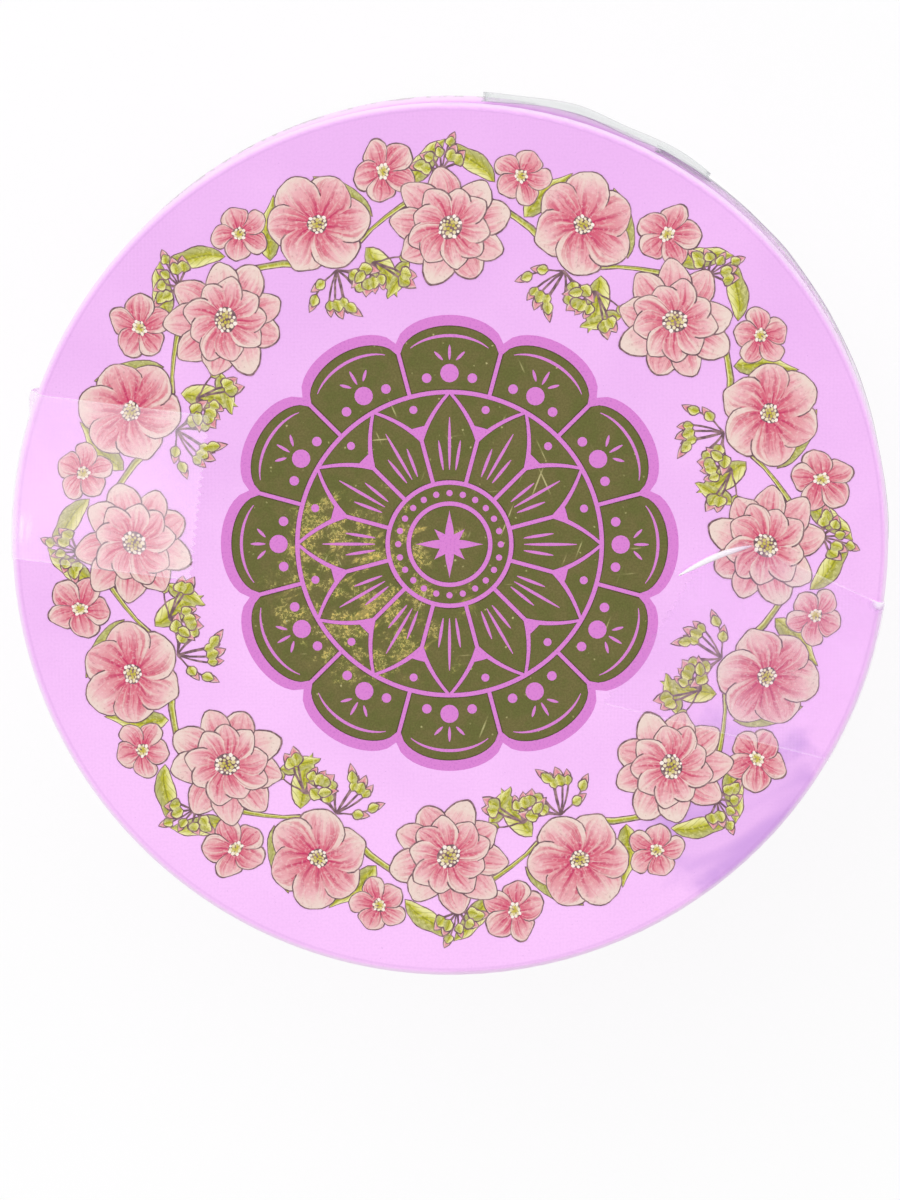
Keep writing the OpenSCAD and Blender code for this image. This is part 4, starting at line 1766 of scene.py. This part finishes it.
# %% Ribbon
ribbon_low, ribbon_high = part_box("puff_ribbon")
RIBBON_W = ribbon_high.y - ribbon_low.y
RIBBON_T = 0.3 * MM
RIBBON_ENDS = 35 * MM
ARCH_R = 37.8 * MM
ARCH_Z = ribbon_high.z - RIBBON_T - ARCH_R
RIBBON_ROWS = 90
SOFT_BEND = 0.7 * MM
RIBBON_PINK, RIBBON_DEEP = colour(236, 156, 190), colour(214, 122, 164)


def ribbon_z(x):
    """Height of the ribbon above the table."""
    lying = dome_z(abs(x)) + 0.25 * MM - TAB_SINK * hill(abs(x), TAB_X, 1.6 * TAB_REACH)
    standing = ARCH_Z + math.sqrt(max(ARCH_R**2 - x * x, 0.0))
    apart = (standing - lying) / SOFT_BEND
    return lying + SOFT_BEND * (math.log1p(math.exp(-abs(apart))) + max(apart, 0.0))


def ribbon_surface(s, t):
    x = (2 * t - 1) * RIBBON_ENDS
    crown = (1 - s * s) * 0.25 * MM * hill(x, 0.0, RIBBON_ENDS)
    ruck = noise.noise(Vector((x / (7 * MM), s * 0.8, 5))) * 0.12 * MM
    return Vector((x, -s * RIBBON_W / 2, ribbon_z(x) + crown + ruck)), 0.5


steps = [(2 * row / RIBBON_ROWS - 1) * RIBBON_ENDS for row in range(RIBBON_ROWS + 1)]
cut = sum(math.hypot(b - a, ribbon_z(b) - ribbon_z(a)) for a, b in zip(steps, steps[1:]))
strap = Sheet()
strap.bend(ribbon_surface, 16, RIBBON_ROWS)
strap_satin = satin_finish("ribbon_satin", RIBBON_PINK, RIBBON_DEEP, ribs=1.0)
ribbon = make_piece("puff_strap", strap.bm, strap_satin, "puff")
cloth_depth = ribbon.modifiers.new("cloth_depth", "SOLIDIFY")
cloth_depth.thickness = RIBBON_T
cloth_depth.offset = 1
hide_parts("puff_ribbon")

# %% [markdown]
# Two rows of stitches hold each end of the ribbon. A stitch is a short thread that is thin at both ends,
# where it dives into the cloth, so a ball drawn out along the seam makes a good one. Blender turns a ball
# as the lathe turns a profile, so the points are sorted again.

# %% Stitches
STITCH_L = 1.5 * MM
STITCH_R = 0.17 * MM
STITCHES = 6
STITCH_ROWS = (-1.4 * MM, 1.4 * MM)

thread = bmesh.new()
for end in (-1, 1):
    for row in STITCH_ROWS:
        for index in range(STITCHES):
            x = end * (TAB_X + 0.6 * MM) + row
            y = (index / (STITCHES - 1) - 0.5) * (RIBBON_W - 2 * MM)
            lying = Matrix.Rotation(math.pi / 2, 4, "X")
            place = Matrix.Translation((x, y, ribbon_z(x) + RIBBON_T + 0.1 * MM)) @ lying
            drawn = place @ Matrix.Diagonal((1, 1, STITCH_L / 2 / STITCH_R, 1))
            bmesh.ops.create_uvsphere(thread, u_segments=8, v_segments=8, radius=STITCH_R, matrix=drawn)
put_in_order(thread)
stitches = make_piece("strap_stitches", thread, strap_satin, "puff")
print(f"ribbon cut to {RIBBON_W / MM:.0f} x {cut / MM:.1f} mm")

# %% [markdown]
# The box of the dressed tin is measured, and how much it grew beyond the box of the CAD model is
# printed for each axis.

# %% Sizes of the dressed tin
dressed_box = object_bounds()
cad_size, dressed_size = cad_box[1] - cad_box[0], dressed_box[1] - dressed_box[0]
print("box grew by", [round(grown / MM, 2) for grown in dressed_size - cad_size], "mm")
